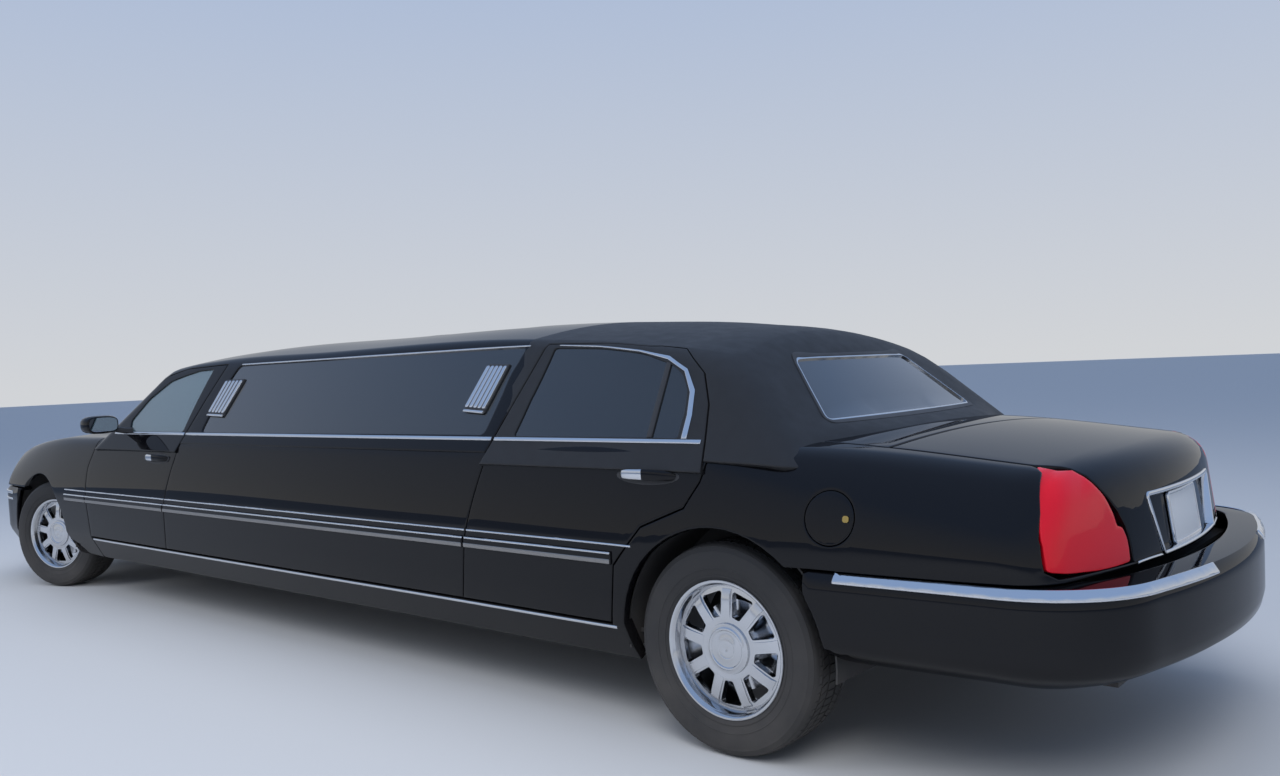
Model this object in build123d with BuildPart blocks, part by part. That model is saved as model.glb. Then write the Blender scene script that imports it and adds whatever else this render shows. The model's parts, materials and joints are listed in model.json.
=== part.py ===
# Stretch limousine, built as separate panels, glass, seats, running gear and wheels.
# Millimetres. X forward, Y to the left, Z up, origin on the ground under the middle of the length.

import os
from math import cos, radians, sin, tan

from build123d import *

os.makedirs("parts", exist_ok=True)

# Overall sizes
overall_length = 7890.0
overall_height = 1499.0
wheelbase = 5530.0
front_overhang = 1010.0
front_end_x = overall_length / 2
rear_end_x = -overall_length / 2
front_axle_x = front_end_x - front_overhang
rear_axle_x = front_axle_x - wheelbase

# Walls and gaps
body_wall = 80.0
skin_wall = 30.0
roof_wall = 38.0
panel_gap = 6.0
glass_inset = 9.0
glass_thickness = 5.0
bumper_wall = 55.0

# Wheels, steering and tracks
tyre_radius = 351.0
tyre_width = 228.0
rim_radius = 228.0
hub_cap_radius = 83.0
spoke_count = 9
front_track = 1610.0
rear_track = 1666.0
kingpin_y = 715.0
rest_steer = 19.6
arch_radius = 402.0
axle_height = tyre_radius

# Heights along the side
under_z = 250.0
sill_z = 392.0
side_z = 645.0
bumper_top_z = 645.0
belt_low_z = 920.0
upper_top_z = 1540.0
floor_z = 360.0
tall = overall_height + 10

# Lower body stations.
# Columns: x, half width underneath, at the sill, at the side line and at the shoulder, shoulder height,
# shoulder round, height on the centre line
lower_stations = [
    (rear_axle_x - 1290, 780, 830, 868, 862, 978, 72, 1000),
    (rear_axle_x - 900, 820, 885, 928, 912, 1004, 84, 1040),
    (rear_axle_x - 400, 862, 935, 970, 940, 1046, 92, 1072),
    (rear_axle_x + 100, 885, 960, 985, 930, 1018, 62, 1052),
    (rear_axle_x + 1500, 885, 962, 985, 930, 1010, 50, 1036),
    (front_axle_x - 1500, 885, 962, 985, 930, 1008, 50, 1036),
    (front_axle_x - 700, 885, 960, 985, 922, 992, 56, 1022),
    (front_axle_x - 100, 870, 952, 978, 900, 945, 62, 982),
    (front_axle_x + 450, 845, 915, 950, 866, 878, 66, 912),
    (front_axle_x + 980, 790, 850, 885, 806, 775, 66, 806),
]
side_bulge = 9.0
tail_x = rear_axle_x - 1200
tail_sweep = 235.0
nose_x = front_axle_x + 940
nose_sweep = 330.0
end_lean = 0.13

# Roof stations. Columns: x, height on the centre line
roof_stations = [
    (rear_axle_x - 420, 1290),
    (rear_axle_x - 150, 1385),
    (rear_axle_x + 100, 1440),
    (rear_axle_x + 450, 1479),
    (rear_axle_x + 1000, 1496),
    (0, overall_height),
    (front_axle_x - 1950, 1496),
    (front_axle_x - 1550, 1476),
    (front_axle_x - 1290, 1444),
    (front_axle_x - 1100, 1405),
]
crown_half = 760.0
crown_drop = 92.0
rail_round = 60.0

# Plan outlines of the upper body. Columns: height, front centre, front corner, rear corner, rear centre
upper_outlines = [
    (belt_low_z, front_axle_x - 366, front_axle_x - 809, rear_axle_x - 454, rear_axle_x - 490),
    (upper_top_z, front_axle_x - 1478, front_axle_x - 1598, rear_axle_x + 212, rear_axle_x + 150),
]
rear_corner_round = 150.0
front_corner_round = 70.0


def side_y(z):
    """Half width of the side glass plane at a height."""
    return 905.0 - 0.5067 * (z - 1028.0)


def save(name, piece):
    """Label a finished piece and write it."""
    piece.part.label = name
    export_step(piece.part, f"parts/{name}.step")


def largest(piece):
    """The largest solid of a cut piece, without the crumbs."""
    return piece.part.solids().sort_by(SortBy.VOLUME)[-1]


def both_sides(solid):
    """A left piece and its mirror image in one node."""
    with BuildPart() as pair:
        add(solid)
        mirror(solid, about=Plane.XZ)
    return pair


def mirrored(piece):
    """The same piece on the other side."""
    with BuildPart() as other:
        mirror(piece.part, about=Plane.XZ)
    return other


def block(x0, x1, y0, y1, z0, z1):
    """Plain block between two corners."""
    with BuildPart() as box:
        with BuildSketch(Plane.XY.offset(z0)):
            with Locations(((x0 + x1) / 2, (y0 + y1) / 2)):
                Rectangle(x1 - x0, y1 - y0)
        extrude(amount=z1 - z0)
    return box.part


def side_prism(points, gap=0.0, depth=425.0):
    """Left-side cutter through a side outline of x and z, grown by a gap."""
    with BuildPart() as prism:
        with BuildSketch(Plane.XZ.offset(-1100)):
            with BuildLine():
                Polyline(*points, close=True)
            make_face()
            if gap:
                offset(amount=gap, kind=Kind.INTERSECTION)
        extrude(amount=depth)
    return prism.part


def end_prism(points, x0, x1, gap=0.0, both=True):
    """Cutter along X through an outline of y and z, on the left side or the same on both sides."""
    far_points = [(-y, z) for y, z in reversed(points)] if both else []
    with BuildPart() as prism:
        with BuildSketch(Plane.YZ.offset(x0)):
            with BuildLine():
                Polyline(*points, *far_points, close=True)
            make_face()
            if gap:
                offset(amount=gap, kind=Kind.INTERSECTION)
        extrude(amount=x1 - x0)
    return prism.part


def plan_prism(half_points, z0, z1, gap=0.0):
    """Cutter through a plan outline that is the same on both sides."""
    with BuildPart() as prism:
        with BuildSketch(Plane.XY.offset(z0)):
            with BuildLine():
                Polyline(*half_points, *[(x, -y) for x, y in reversed(half_points)], close=True)
            make_face()
            if gap:
                offset(amount=gap, kind=Kind.INTERSECTION)
        extrude(amount=z1 - z0)
    return prism.part


def arch_cut(axle_x):
    """Wheel arch cutter on the left side."""
    with BuildPart() as arch:
        with BuildSketch(Plane.XZ.offset(-1100)):
            with Locations((axle_x, axle_height)):
                Circle(arch_radius)
            with Locations((axle_x, axle_height - 150)):
                Rectangle(2 * arch_radius, 300)
        extrude(amount=500)
    return arch.part


def end_limits(inset):
    """Block between the swept and leaning nose and tail."""
    with BuildPart() as limits:
        for z in (0, tall):
            lean = (z - side_z) * end_lean + inset
            nose, tail = nose_x - lean, tail_x + lean
            with BuildSketch(Plane.XY.offset(z)):
                with BuildLine():
                    ThreePointArc((nose - nose_sweep, -1100), (nose, 0), (nose - nose_sweep, 1100))
                    Line((nose - nose_sweep, 1100), (tail + tail_sweep, 1100))
                    ThreePointArc((tail + tail_sweep, 1100), (tail, 0), (tail + tail_sweep, -1100))
                    Line((tail + tail_sweep, -1100), (nose - nose_sweep, -1100))
                make_face()
        loft(ruled=True)
    return limits.part


def lower_form(inset, floor):
    """Closed form of the lower body, moved in from its outer surface."""
    with BuildPart() as form:
        for x, under, sill, side, shoulder, shoulder_z, shoulder_round, crown in lower_stations:
            corner = max(shoulder_round - inset / 2, 20)
            y0, y1, y2, y3 = under - inset, sill - inset, side - inset, shoulder - inset
            top = shoulder_z - inset
            bulge_y, bulge_z = (y2 + y3) / 2 + side_bulge, (side_z + top - corner) / 2
            round_y, round_z = y3 - 0.3 * corner, top - 0.26 * corner
            with BuildSketch(Plane.YZ.offset(x)):
                with BuildLine():
                    Polyline((-y2, side_z), (-y1, sill_z), (-y0, floor),
                             (y0, floor), (y1, sill_z), (y2, side_z))
                    ThreePointArc((y2, side_z), (bulge_y, bulge_z), (y3, top - corner))
                    ThreePointArc((y3, top - corner), (round_y, round_z), (y3 - corner, top))
                    ThreePointArc((y3 - corner, top), (0, crown - inset), (corner - y3, top))
                    ThreePointArc((corner - y3, top), (-round_y, round_z), (-y3, top - corner))
                    ThreePointArc((-y3, top - corner), (-bulge_y, bulge_z), (-y2, side_z))
                make_face()
        loft()
        add(end_limits(inset), mode=Mode.INTERSECT)
    return form.part


def plan_outline(z, front, front_corner, rear_corner, rear, inset):
    """One closed plan outline of the upper body."""
    half = side_y(z) - inset
    with BuildSketch(Plane.XY.offset(z)) as outline:
        with BuildLine():
            ThreePointArc((front_corner - inset, half), (front - inset, 0), (front_corner - inset, -half))
            Line((front_corner - inset, -half), (rear_corner + inset, -half))
            ThreePointArc((rear_corner + inset, -half), (rear + inset, 0), (rear_corner + inset, half))
            Line((rear_corner + inset, half), (front_corner - inset, half))
        make_face()
        fillet(outline.vertices().sort_by(Axis.X)[:2], rear_corner_round - inset)
        fillet(outline.vertices().sort_by(Axis.X)[-2:], front_corner_round - inset)
    return outline.sketch


def tower_form(inset):
    """Form between the two plan outlines."""
    with BuildPart() as tower:
        for row in upper_outlines:
            add(plan_outline(*row, inset))
        loft(ruled=True)
    return tower.part


def upper_form(inset):
    """Closed form of the upper body, from below the belt to the roof."""
    with BuildPart() as form:
        for x, height in roof_stations:
            edge = height - inset - crown_drop
            with BuildSketch(Plane.YZ.offset(x)):
                with BuildLine():
                    ThreePointArc((-crown_half, edge), (0, height - inset), (crown_half, edge))
                    Polyline((crown_half, edge), (1000, edge - 60), (1000, 900), (-1000, 900),
                             (-1000, edge - 60), (-crown_half, edge))
                make_face()
        loft()
        front = roof_stations[-1][0]
        with BuildSketch(Plane.XZ.offset(-1000)):
            with Locations(((front + front_axle_x) / 2, 1150)):
                Rectangle(front_axle_x - front, 500)
        extrude(amount=2000)
        add(tower_form(inset), mode=Mode.INTERSECT)
        if inset == 0:
            rail_edges = [edge for edge in form.edges()
                          if edge.bounding_box().min.Z > 1150 and edge.length > 50]
            fillet(rail_edges, rail_round)
    return form.part


# Side outlines, drawn on the left side as x and z
front_seam_x = front_axle_x - 772
front_door_seam = [(front_seam_x, sill_z), (front_seam_x, 820), (front_axle_x - 838, 985)]
front_door_top = [(front_axle_x - 1030, 1112), (front_axle_x - 1235, 1250), (front_axle_x - 1440, 1352),
                  (front_axle_x - 1640, 1390), (front_axle_x - 2072, 1398)]
front_door_rear = [(front_axle_x - 1985, 1205), (front_axle_x - 1920, 1021), (front_axle_x - 1786, 641),
                   (front_axle_x - 1750, sill_z)]
rear_door_front = [(rear_axle_x + 1262, sill_z), (rear_axle_x + 1212, 652), (rear_axle_x + 1105, 1030),
                   (rear_axle_x + 1050, 1175), (rear_axle_x + 962, 1398)]
rear_door_rear = [(rear_axle_x + 640, 1397), (rear_axle_x + 400, 1376), (rear_axle_x + 250, 1336),
                  (rear_axle_x + 140, 1255), (rear_axle_x + 88, 1150), (rear_axle_x + 66, 1035),
                  (rear_axle_x + 40, 985), (rear_axle_x + 62, 900), (rear_axle_x + 120, 812),
                  (rear_axle_x + 300, 740), (rear_axle_x + 425, 600), (rear_axle_x + 460, sill_z)]
front_glass = [(front_axle_x - 1244, 1033), (front_axle_x - 1202, 1100), (front_axle_x - 1310, 1222),
               (front_axle_x - 1480, 1318), (front_axle_x - 1775, 1370), (front_axle_x - 1933, 1374),
               (front_axle_x - 1891, 1181), (front_axle_x - 1880, 1037)]
stretch_glass = [(rear_axle_x + 3445, 1038), (rear_axle_x + 3408, 1232), (rear_axle_x + 3330, 1383),
                 (rear_axle_x + 1081, 1385), (rear_axle_x + 1127, 1275), (rear_axle_x + 1173, 1042)]
rear_glass = [(rear_axle_x + 995, 1038), (rear_axle_x + 964, 1174), (rear_axle_x + 916, 1375),
              (rear_axle_x + 671, 1365), (rear_axle_x + 461, 1336), (rear_axle_x + 300, 1292),
              (rear_axle_x + 235, 1255), (rear_axle_x + 195, 1200), (rear_axle_x + 183, 1038)]
rear_glass_bar = [(rear_axle_x + 299, 1030), (rear_axle_x + 300, 1310), (rear_axle_x + 322, 1315),
                  (rear_axle_x + 322, 1030)]

# Hood, trunk lid, lamps and plate recess
hood_rear_x = front_axle_x - 470
hood_half = 700.0
hood_nose_half = 640.0
nose_low_z, nose_top_z, grille_half = 649.0, 768.0, 430.0
trunk_front_x = rear_axle_x - 505
trunk_half = 715.0
lid_edge_x = rear_axle_x - 1020
lid_outline = [(trunk_half, 1130), (trunk_half, 962), (690, 944), (648, 900), (560, 820), (480, 672),
               (476, 654)]
lamp_outline = [(1100, 985), (885, 985), (724, 960), (698, 940), (656, 895), (570, 812), (502, 696),
                (1100, 696)]
plate_half, plate_low_z, plate_top_z, plate_floor_x = 345.0, 662.0, 845.0, rear_axle_x - 1152
lid_gap = 12.0
lid_flange_z = 960.0
jamb_gap = 15.0
firewall_x = front_axle_x - 600

# Body shell: the outer forms less the inner ones and the cabin well, split for quicker cuts
lower_outer = lower_form(0, under_z)
lower_skin = lower_form(skin_wall, 100.0)
lamp_back = lower_form(60, 100.0)
glass_outer = upper_form(glass_inset)
with BuildPart() as shell:
    add(lower_outer)
    add(upper_form(0))
    add(lower_form(body_wall, 100.0), mode=Mode.SUBTRACT)
    add(upper_form(roof_wall), mode=Mode.SUBTRACT)
    add(block(rear_axle_x - 300, front_axle_x - 600, -872, 872, 100, 890), mode=Mode.SUBTRACT)
    add(block(rear_axle_x - 300, front_axle_x - 700, -835, 835, 880, 930), mode=Mode.SUBTRACT)


def shell_region(x0, x1, y0=-1100):
    """The part of the shell between two stations."""
    with BuildPart() as region:
        add(shell.part)
        add(block(x0, x1, y0, 1100, 0, tall), mode=Mode.INTERSECT)
    return region.part


front_shell = shell_region(front_axle_x - 1000, front_end_x)
front_door_shell = shell_region(front_axle_x - 2150, front_axle_x - 740, 300)
rear_door_shell = shell_region(rear_axle_x + 20, rear_axle_x + 1300, 300)
rear_shell = shell_region(rear_end_x, rear_axle_x + 560)
front_door_outline = front_door_seam + front_door_top + front_door_rear
rear_door_outline = rear_door_front + rear_door_rear
front_door_opening = side_prism(front_door_outline, panel_gap)
rear_door_opening = side_prism(rear_door_outline, panel_gap)
rear_jamb = side_prism(rear_door_outline, jamb_gap)
front_window, stretch_window = side_prism(front_glass), side_prism(stretch_glass)
with BuildPart() as rear_window:
    add(side_prism(rear_glass))
    add(side_prism(rear_glass_bar), mode=Mode.SUBTRACT)
hood_plan = [(hood_rear_x, 0), (hood_rear_x - 175, hood_half), (front_axle_x + 1000, hood_nose_half)]
trunk_plan = [(trunk_front_x, trunk_half), (lid_edge_x - 4, trunk_half)]

# Hood, from the cowl to the nose
with BuildPart() as hood:
    add(front_shell)
    add(plan_prism(hood_plan, 600, tall), mode=Mode.INTERSECT)
    add(block(front_axle_x + 700, front_axle_x + 1000, -800, 800, 600, nose_top_z + 4), mode=Mode.SUBTRACT)
    add(lower_skin, mode=Mode.SUBTRACT)
save("hood", hood)

# Trunk lid, over the deck and down between the lamps, with the plate recess
with BuildPart() as lid_region:
    add(plan_prism(trunk_plan, lid_flange_z, 1130))
    add(end_prism(lid_outline, rear_axle_x - 1300, lid_edge_x))
with BuildPart() as trunk_lid:
    add(rear_shell)
    add(lid_region.part, mode=Mode.INTERSECT)
    add(lamp_back, mode=Mode.SUBTRACT)
    add(block(rear_axle_x - 1300, plate_floor_x, -plate_half, plate_half, plate_low_z, plate_top_z),
        mode=Mode.SUBTRACT)
save("trunk_lid", trunk_lid)
with BuildPart() as trunk_opening:
    add(plan_prism(trunk_plan, 800, 1130, panel_gap))
    add(end_prism(lid_outline + [(476, 600)], rear_axle_x - 1300, lid_edge_x + panel_gap, panel_gap))

# Front fenders with their wheelhouse liners
liner_radius, liner_wall, liner_inner_y = 420.0, 8.0, 480.0
with BuildPart() as liner:
    with BuildSketch(Plane.XZ.offset(-872)):
        with Locations((front_axle_x, axle_height)):
            Circle(liner_radius + liner_wall)
            Circle(liner_radius, mode=Mode.SUBTRACT)
        with Locations((front_axle_x, axle_height - 250)):
            Rectangle(1000, 500, mode=Mode.SUBTRACT)
    extrude(amount=872 - liner_inner_y)
    with BuildSketch(Plane.XZ.offset(-930)):
        with Locations((front_axle_x, axle_height)):
            Circle(liner_radius + liner_wall)
            Circle(liner_radius, mode=Mode.SUBTRACT)
        with Locations((front_axle_x, 355)):
            Rectangle(1000, 610, mode=Mode.SUBTRACT)
    extrude(amount=930 - 872)
with BuildPart() as front_fender_left:
    add(front_shell)
    add(block(front_seam_x - 70, front_end_x, 300, 1100, under_z - 5, tall), mode=Mode.INTERSECT)
    add(lower_outer, mode=Mode.INTERSECT)
    add(plan_prism(hood_plan, 500, tall, panel_gap), mode=Mode.SUBTRACT)
    add(front_door_opening, mode=Mode.SUBTRACT)
    add(arch_cut(front_axle_x), mode=Mode.SUBTRACT)
    add(block(front_seam_x - 100, front_seam_x + panel_gap, 0, 1100, 0, sill_z), mode=Mode.SUBTRACT)
    add(block(front_axle_x + 335, front_end_x, 0, 1100, 0, bumper_top_z + 3), mode=Mode.SUBTRACT)
    add(block(front_axle_x + 780, front_end_x, 0, 1100, 0, nose_top_z + 4), mode=Mode.SUBTRACT)
    add(block(front_axle_x - 900, front_axle_x - 380, 0, hood_half, 0, tall), mode=Mode.SUBTRACT)
with BuildPart() as fender_left:
    add(largest(front_fender_left))
    add(liner.part)
save("front_fenders", both_sides(largest(fender_left)))

# Cowl between the hood and the windscreen, with the firewall under it
with BuildPart() as cowl:
    add(front_shell)
    add(block(front_axle_x - 900, front_axle_x - 380, -hood_half, hood_half, 800, tall), mode=Mode.INTERSECT)
    add(lower_outer, mode=Mode.INTERSECT)
    add(plan_prism(hood_plan, 500, tall, lid_gap), mode=Mode.SUBTRACT)
    add(block(firewall_x - 20, firewall_x, -hood_half, hood_half, 402, 940))
    add(block(firewall_x - 30, firewall_x + 10, -200, 200, 400, 680), mode=Mode.SUBTRACT)
save("cowl", cowl)

# Side of the body between the doors, with the sill under both doors
with BuildPart() as side_region:
    add(block(rear_axle_x + 900, front_axle_x - 1600, 300, 1100, sill_z - 10, tall))
    add(block(rear_axle_x + 420, front_seam_x + panel_gap, 300, 1100, under_z - 5, sill_z - panel_gap))
with BuildPart() as side_left:
    add(shell.part)
    add(side_region.part, mode=Mode.INTERSECT)
    add(lower_outer, mode=Mode.INTERSECT)
    add(front_door_opening, mode=Mode.SUBTRACT)
    add(rear_door_opening, mode=Mode.SUBTRACT)
save("side_panels", both_sides(largest(side_left)))

# Rear quarters, from the rear doors to the tail, with the left filler opening
fuel_x, fuel_z, fuel_radius = rear_axle_x - 422, 809.0, 80.0
with BuildPart() as jamb_recess:
    add(rear_jamb)
    add(lower_skin, mode=Mode.INTERSECT)
with BuildPart() as quarter_base:
    add(rear_shell)
    add(block(rear_end_x, rear_axle_x + 520, 300, 1100, under_z - 5, tall), mode=Mode.INTERSECT)
    add(lower_outer, mode=Mode.INTERSECT)
    add(rear_door_opening, mode=Mode.SUBTRACT)
    add(jamb_recess.part, mode=Mode.SUBTRACT)
    add(trunk_opening.part, mode=Mode.SUBTRACT)
    add(end_prism(lamp_outline, rear_axle_x - 1300, rear_axle_x - 1026, 2, both=False), mode=Mode.SUBTRACT)
    add(arch_cut(rear_axle_x), mode=Mode.SUBTRACT)
    add(block(rear_end_x, rear_axle_x - 335, 0, 1100, 0, bumper_top_z + 3), mode=Mode.SUBTRACT)
    add(block(trunk_front_x - 20, rear_axle_x - 250, 0, trunk_half, 560, tall), mode=Mode.SUBTRACT)
    add(block(rear_axle_x, rear_axle_x + 600, 0, 1100, 0, sill_z), mode=Mode.SUBTRACT)
quarter_solid = largest(quarter_base)
with BuildPart() as quarter_left:
    add(quarter_solid)
    with BuildSketch(Plane.XZ.offset(-1100)):
        with Locations((fuel_x, fuel_z)):
            Circle(fuel_radius + panel_gap)
    extrude(amount=183, mode=Mode.SUBTRACT)
with BuildPart() as quarter_panels:
    add(quarter_left.part)
    mirror(quarter_solid, about=Plane.XZ)
save("quarter_panels", quarter_panels)
with BuildPart() as fuel_door:
    add(lower_outer)
    add(block(fuel_x - 100, fuel_x + 100, 900, 1100, fuel_z - 100, fuel_z + 100), mode=Mode.INTERSECT)
    with BuildSketch(Plane.XZ.offset(-1100)):
        with Locations((fuel_x, fuel_z)):
            Circle(fuel_radius)
    extrude(amount=300, mode=Mode.INTERSECT)
    add(lower_form(8, 100), mode=Mode.SUBTRACT)
save("fuel_door", fuel_door)

# Doors, as thick as the body wall, with their windows cut out, handles and mirrors
# Columns: front end of the handle, its length, its lower edge, its inner and outer y
front_handle = (front_axle_x - 1545, 250, 872, 930, 984)
rear_handle = (rear_axle_x + 405, 238, 892, 930, 988)


def handle_bar(row):
    """Pull handle, sunk in the door skin at its foot."""
    x, length, low_z, inner_y, outer_y = row
    with BuildPart() as bar:
        add(block(x - length, x, inner_y, outer_y, low_z, low_z + 34))
        fillet(bar.edges().filter_by(Axis.X).sort_by(Axis.Y)[-2:], 12)
        fillet(bar.edges().filter_by(Axis.Z), 12)
    return bar.part


# Inner side of the rear door frame, cut back as y and z so that it swings past the pillar
frame_relief = [(600, 1150), (820, 1150), (745, 1300), (600, 1300)]
with BuildPart() as mirror_head:
    add(block(front_axle_x - 1268, front_axle_x - 1128, 985, 1150, 1040, 1132))
    fillet(mirror_head.edges().filter_by(Axis.X), 30)
    fillet(mirror_head.edges().group_by(Axis.X)[-1], 26)
    add(block(front_axle_x - 1220, front_axle_x - 1150, 868, 1010, 1022, 1062))
with BuildPart() as front_door_left:
    add(front_door_shell)
    add(side_prism(front_door_outline), mode=Mode.INTERSECT)
    add(front_window, mode=Mode.SUBTRACT)
    add(block(front_axle_x - 2100, front_axle_x - 2000, 600, 702, 1360, 1400), mode=Mode.SUBTRACT)
    add(mirror_head.part)
    add(handle_bar(front_handle))
with BuildPart() as rear_door_left:
    add(rear_door_shell)
    add(side_prism(rear_door_outline), mode=Mode.INTERSECT)
    add(rear_window.part, mode=Mode.SUBTRACT)
    add(end_prism(frame_relief, rear_axle_x + 60, rear_axle_x + 220, both=False), mode=Mode.SUBTRACT)
    add(arch_cut(rear_axle_x), mode=Mode.SUBTRACT)
    add(handle_bar(rear_handle))
save("front_door_left", front_door_left)
save("front_door_right", mirrored(front_door_left))
save("rear_door_left", rear_door_left)
save("rear_door_right", mirrored(rear_door_left))

# Glass, a thin skin just inside the upper body surface
with BuildPart() as glass_skin:
    add(glass_outer)
    add(upper_form(glass_inset + glass_thickness), mode=Mode.SUBTRACT)


def pane(*cutters):
    """Sheets of glass inside window outlines."""
    with BuildPart() as region:
        for cutter in cutters:
            add(cutter)
    with BuildPart() as sheet:
        add(glass_skin.part)
        add(region.part, mode=Mode.INTERSECT)
    return sheet


windscreen_cut = end_prism([(650, 1372), (800, 1030)], front_axle_x - 1650, front_axle_x - 250)
backlight_cut = end_prism([(480, 1368), (574, 1082)], rear_axle_x - 500, rear_axle_x + 200)
moonroof_cut = block(rear_axle_x + 1500, rear_axle_x + 2250, -300, 300, 1380, tall)
with BuildPart() as far_window:
    mirror(stretch_window, about=Plane.XZ)
front_pane, rear_pane = pane(front_window), pane(rear_window.part)
save("front_glass_left", front_pane)
save("front_glass_right", mirrored(front_pane))
save("rear_glass_left", rear_pane)
save("rear_glass_right", mirrored(rear_pane))
save("windscreen", pane(windscreen_cut))
save("fixed_windows", pane(stretch_window, far_window.part, backlight_cut, moonroof_cut))

# Roof with its pillars
with BuildPart() as roof_openings:
    add(rear_jamb)
    add(glass_outer, mode=Mode.INTERSECT)
    add(front_door_opening)
    add(rear_door_opening)
    add(stretch_window)
    mirror(about=Plane.XZ)
    add(windscreen_cut)
    add(backlight_cut)
    add(moonroof_cut)
with BuildPart() as roof:
    add(shell.part)
    add(lower_outer, mode=Mode.SUBTRACT)
    add(roof_openings.part, mode=Mode.SUBTRACT)
with BuildPart() as roof_main:
    add(largest(roof))
save("roof", roof_main)

# Strip of deck between the rear window and the trunk lid, with the shelf wall under it
with BuildPart() as rear_deck:
    add(rear_shell)
    add(block(trunk_front_x - 20, rear_axle_x - 330, -trunk_half, trunk_half, 900, tall),
        mode=Mode.INTERSECT)
    add(lower_outer, mode=Mode.INTERSECT)
    add(trunk_opening.part, mode=Mode.SUBTRACT)
    add(block(rear_axle_x - 370, rear_axle_x - 350, -640, 640, 580, 990))
save("rear_deck", rear_deck)

# Tail lamps, headlamps and grille, cut from the solid tail and nose
with BuildPart() as tail_lamp_left:
    add(lower_outer)
    add(end_prism(lamp_outline, rear_axle_x - 1300, rear_axle_x - 1030, both=False), mode=Mode.INTERSECT)
    add(lamp_back, mode=Mode.SUBTRACT)
save("tail_lamps", both_sides(largest(tail_lamp_left)))
with BuildPart() as headlamp_left:
    add(lower_outer)
    add(block(front_axle_x + 782, front_end_x, grille_half + 6, 1100, nose_low_z, nose_top_z),
        mode=Mode.INTERSECT)
save("headlamps", both_sides(largest(headlamp_left)))
bar_count, bar_pitch, slot_width = 21, 40.0, 30.0
with BuildPart() as grille:
    add(lower_outer)
    add(block(front_axle_x + 850, front_end_x, -grille_half, grille_half, nose_low_z, nose_top_z),
        mode=Mode.INTERSECT)
    with BuildSketch(Plane.YZ.offset(front_axle_x + 875)):
        with GridLocations(bar_pitch, 1, bar_count, 1):
            with Locations((0, (nose_low_z + nose_top_z) / 2)):
                Rectangle(slot_width, nose_top_z - nose_low_z - 36)
    extrude(amount=100, mode=Mode.SUBTRACT)
save("grille", grille)

# Bumpers. Outlines: x at the wheel arch, its y, corner start, corner middle, corner end, middle of the car
rear_outline = [(rear_axle_x - 335, 980), (rear_axle_x - 880, 950), (rear_axle_x - 1140, 862),
                (rear_axle_x - 1262, 640), (rear_end_x, 0)]
front_outline = [(front_axle_x + 335, 978), (front_axle_x + 540, 950), (front_axle_x + 800, 842),
                 (front_axle_x + 925, 620), (front_end_x, 0)]
# Columns: height, how far the outline is moved in
rear_bumper_rings = [(322, 62), (424, 6), (560, 0), (620, 0), (bumper_top_z, 16)]
ledge_wall, intake_half = 40.0, 360.0
front_bumper_rings = [(262, 60), (360, 4), (560, 0), (620, 0), (bumper_top_z, 16)]


def bumper_core(outline, rings, inward):
    """Solid form between the moved-in plan outlines of a bumper."""
    heading = 1 if outline[-1][0] > outline[0][0] else -1
    with BuildPart() as core:
        for z, inset in rings:
            shift = inset + inward
            (x0, y0), (x1, y1), (x2, y2), (x3, y3), (x4, _) = [
                (x - heading * shift * along, y - shift * across)
                for (x, y), along, across in zip(outline, (0, 0.05, 0.6, 0.92, 1), (1, 1, 0.8, 0.4, 0))]
            with BuildSketch(Plane.XY.offset(z)):
                with BuildLine():
                    Polyline((x1, -y1), (x0, -y0), (x0, y0), (x1, y1))
                    ThreePointArc((x1, y1), (x2, y2), (x3, y3))
                    ThreePointArc((x3, y3), (x4, 0), (x3, -y3))
                    ThreePointArc((x3, -y3), (x2, -y2), (x1, -y1))
                make_face()
        loft(ruled=True)
    return core.part


def bumper(outline, rings, axle_x, side_x):
    """Hollow bumper with a top ledge, cut for the wheel arches."""
    (low_z, low_inset), *_, (top_z, top_inset) = rings
    hollow = [(low_z - 10, low_inset), rings[1], rings[2], (top_z - ledge_wall, 0)]
    with BuildPart() as bar:
        add(bumper_core(outline, rings, 0))
        add(bumper_core(outline, hollow, bumper_wall), mode=Mode.SUBTRACT)
        add(arch_cut(axle_x), mode=Mode.SUBTRACT)
        mirror(arch_cut(axle_x), about=Plane.XZ, mode=Mode.SUBTRACT)
        add(block(min(side_x, axle_x), max(side_x, axle_x), -885, 885, 500, 700), mode=Mode.SUBTRACT)
    return bar


save("rear_bumper", bumper(rear_outline, rear_bumper_rings, rear_axle_x, rear_axle_x - 1130))
with BuildPart() as front_bumper:
    add(bumper(front_outline, front_bumper_rings, front_axle_x, front_axle_x + 780).part)
    add(block(front_axle_x + 840, front_end_x + 10, -intake_half, intake_half, 392, 478), mode=Mode.SUBTRACT)
save("front_bumper", front_bumper)

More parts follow.
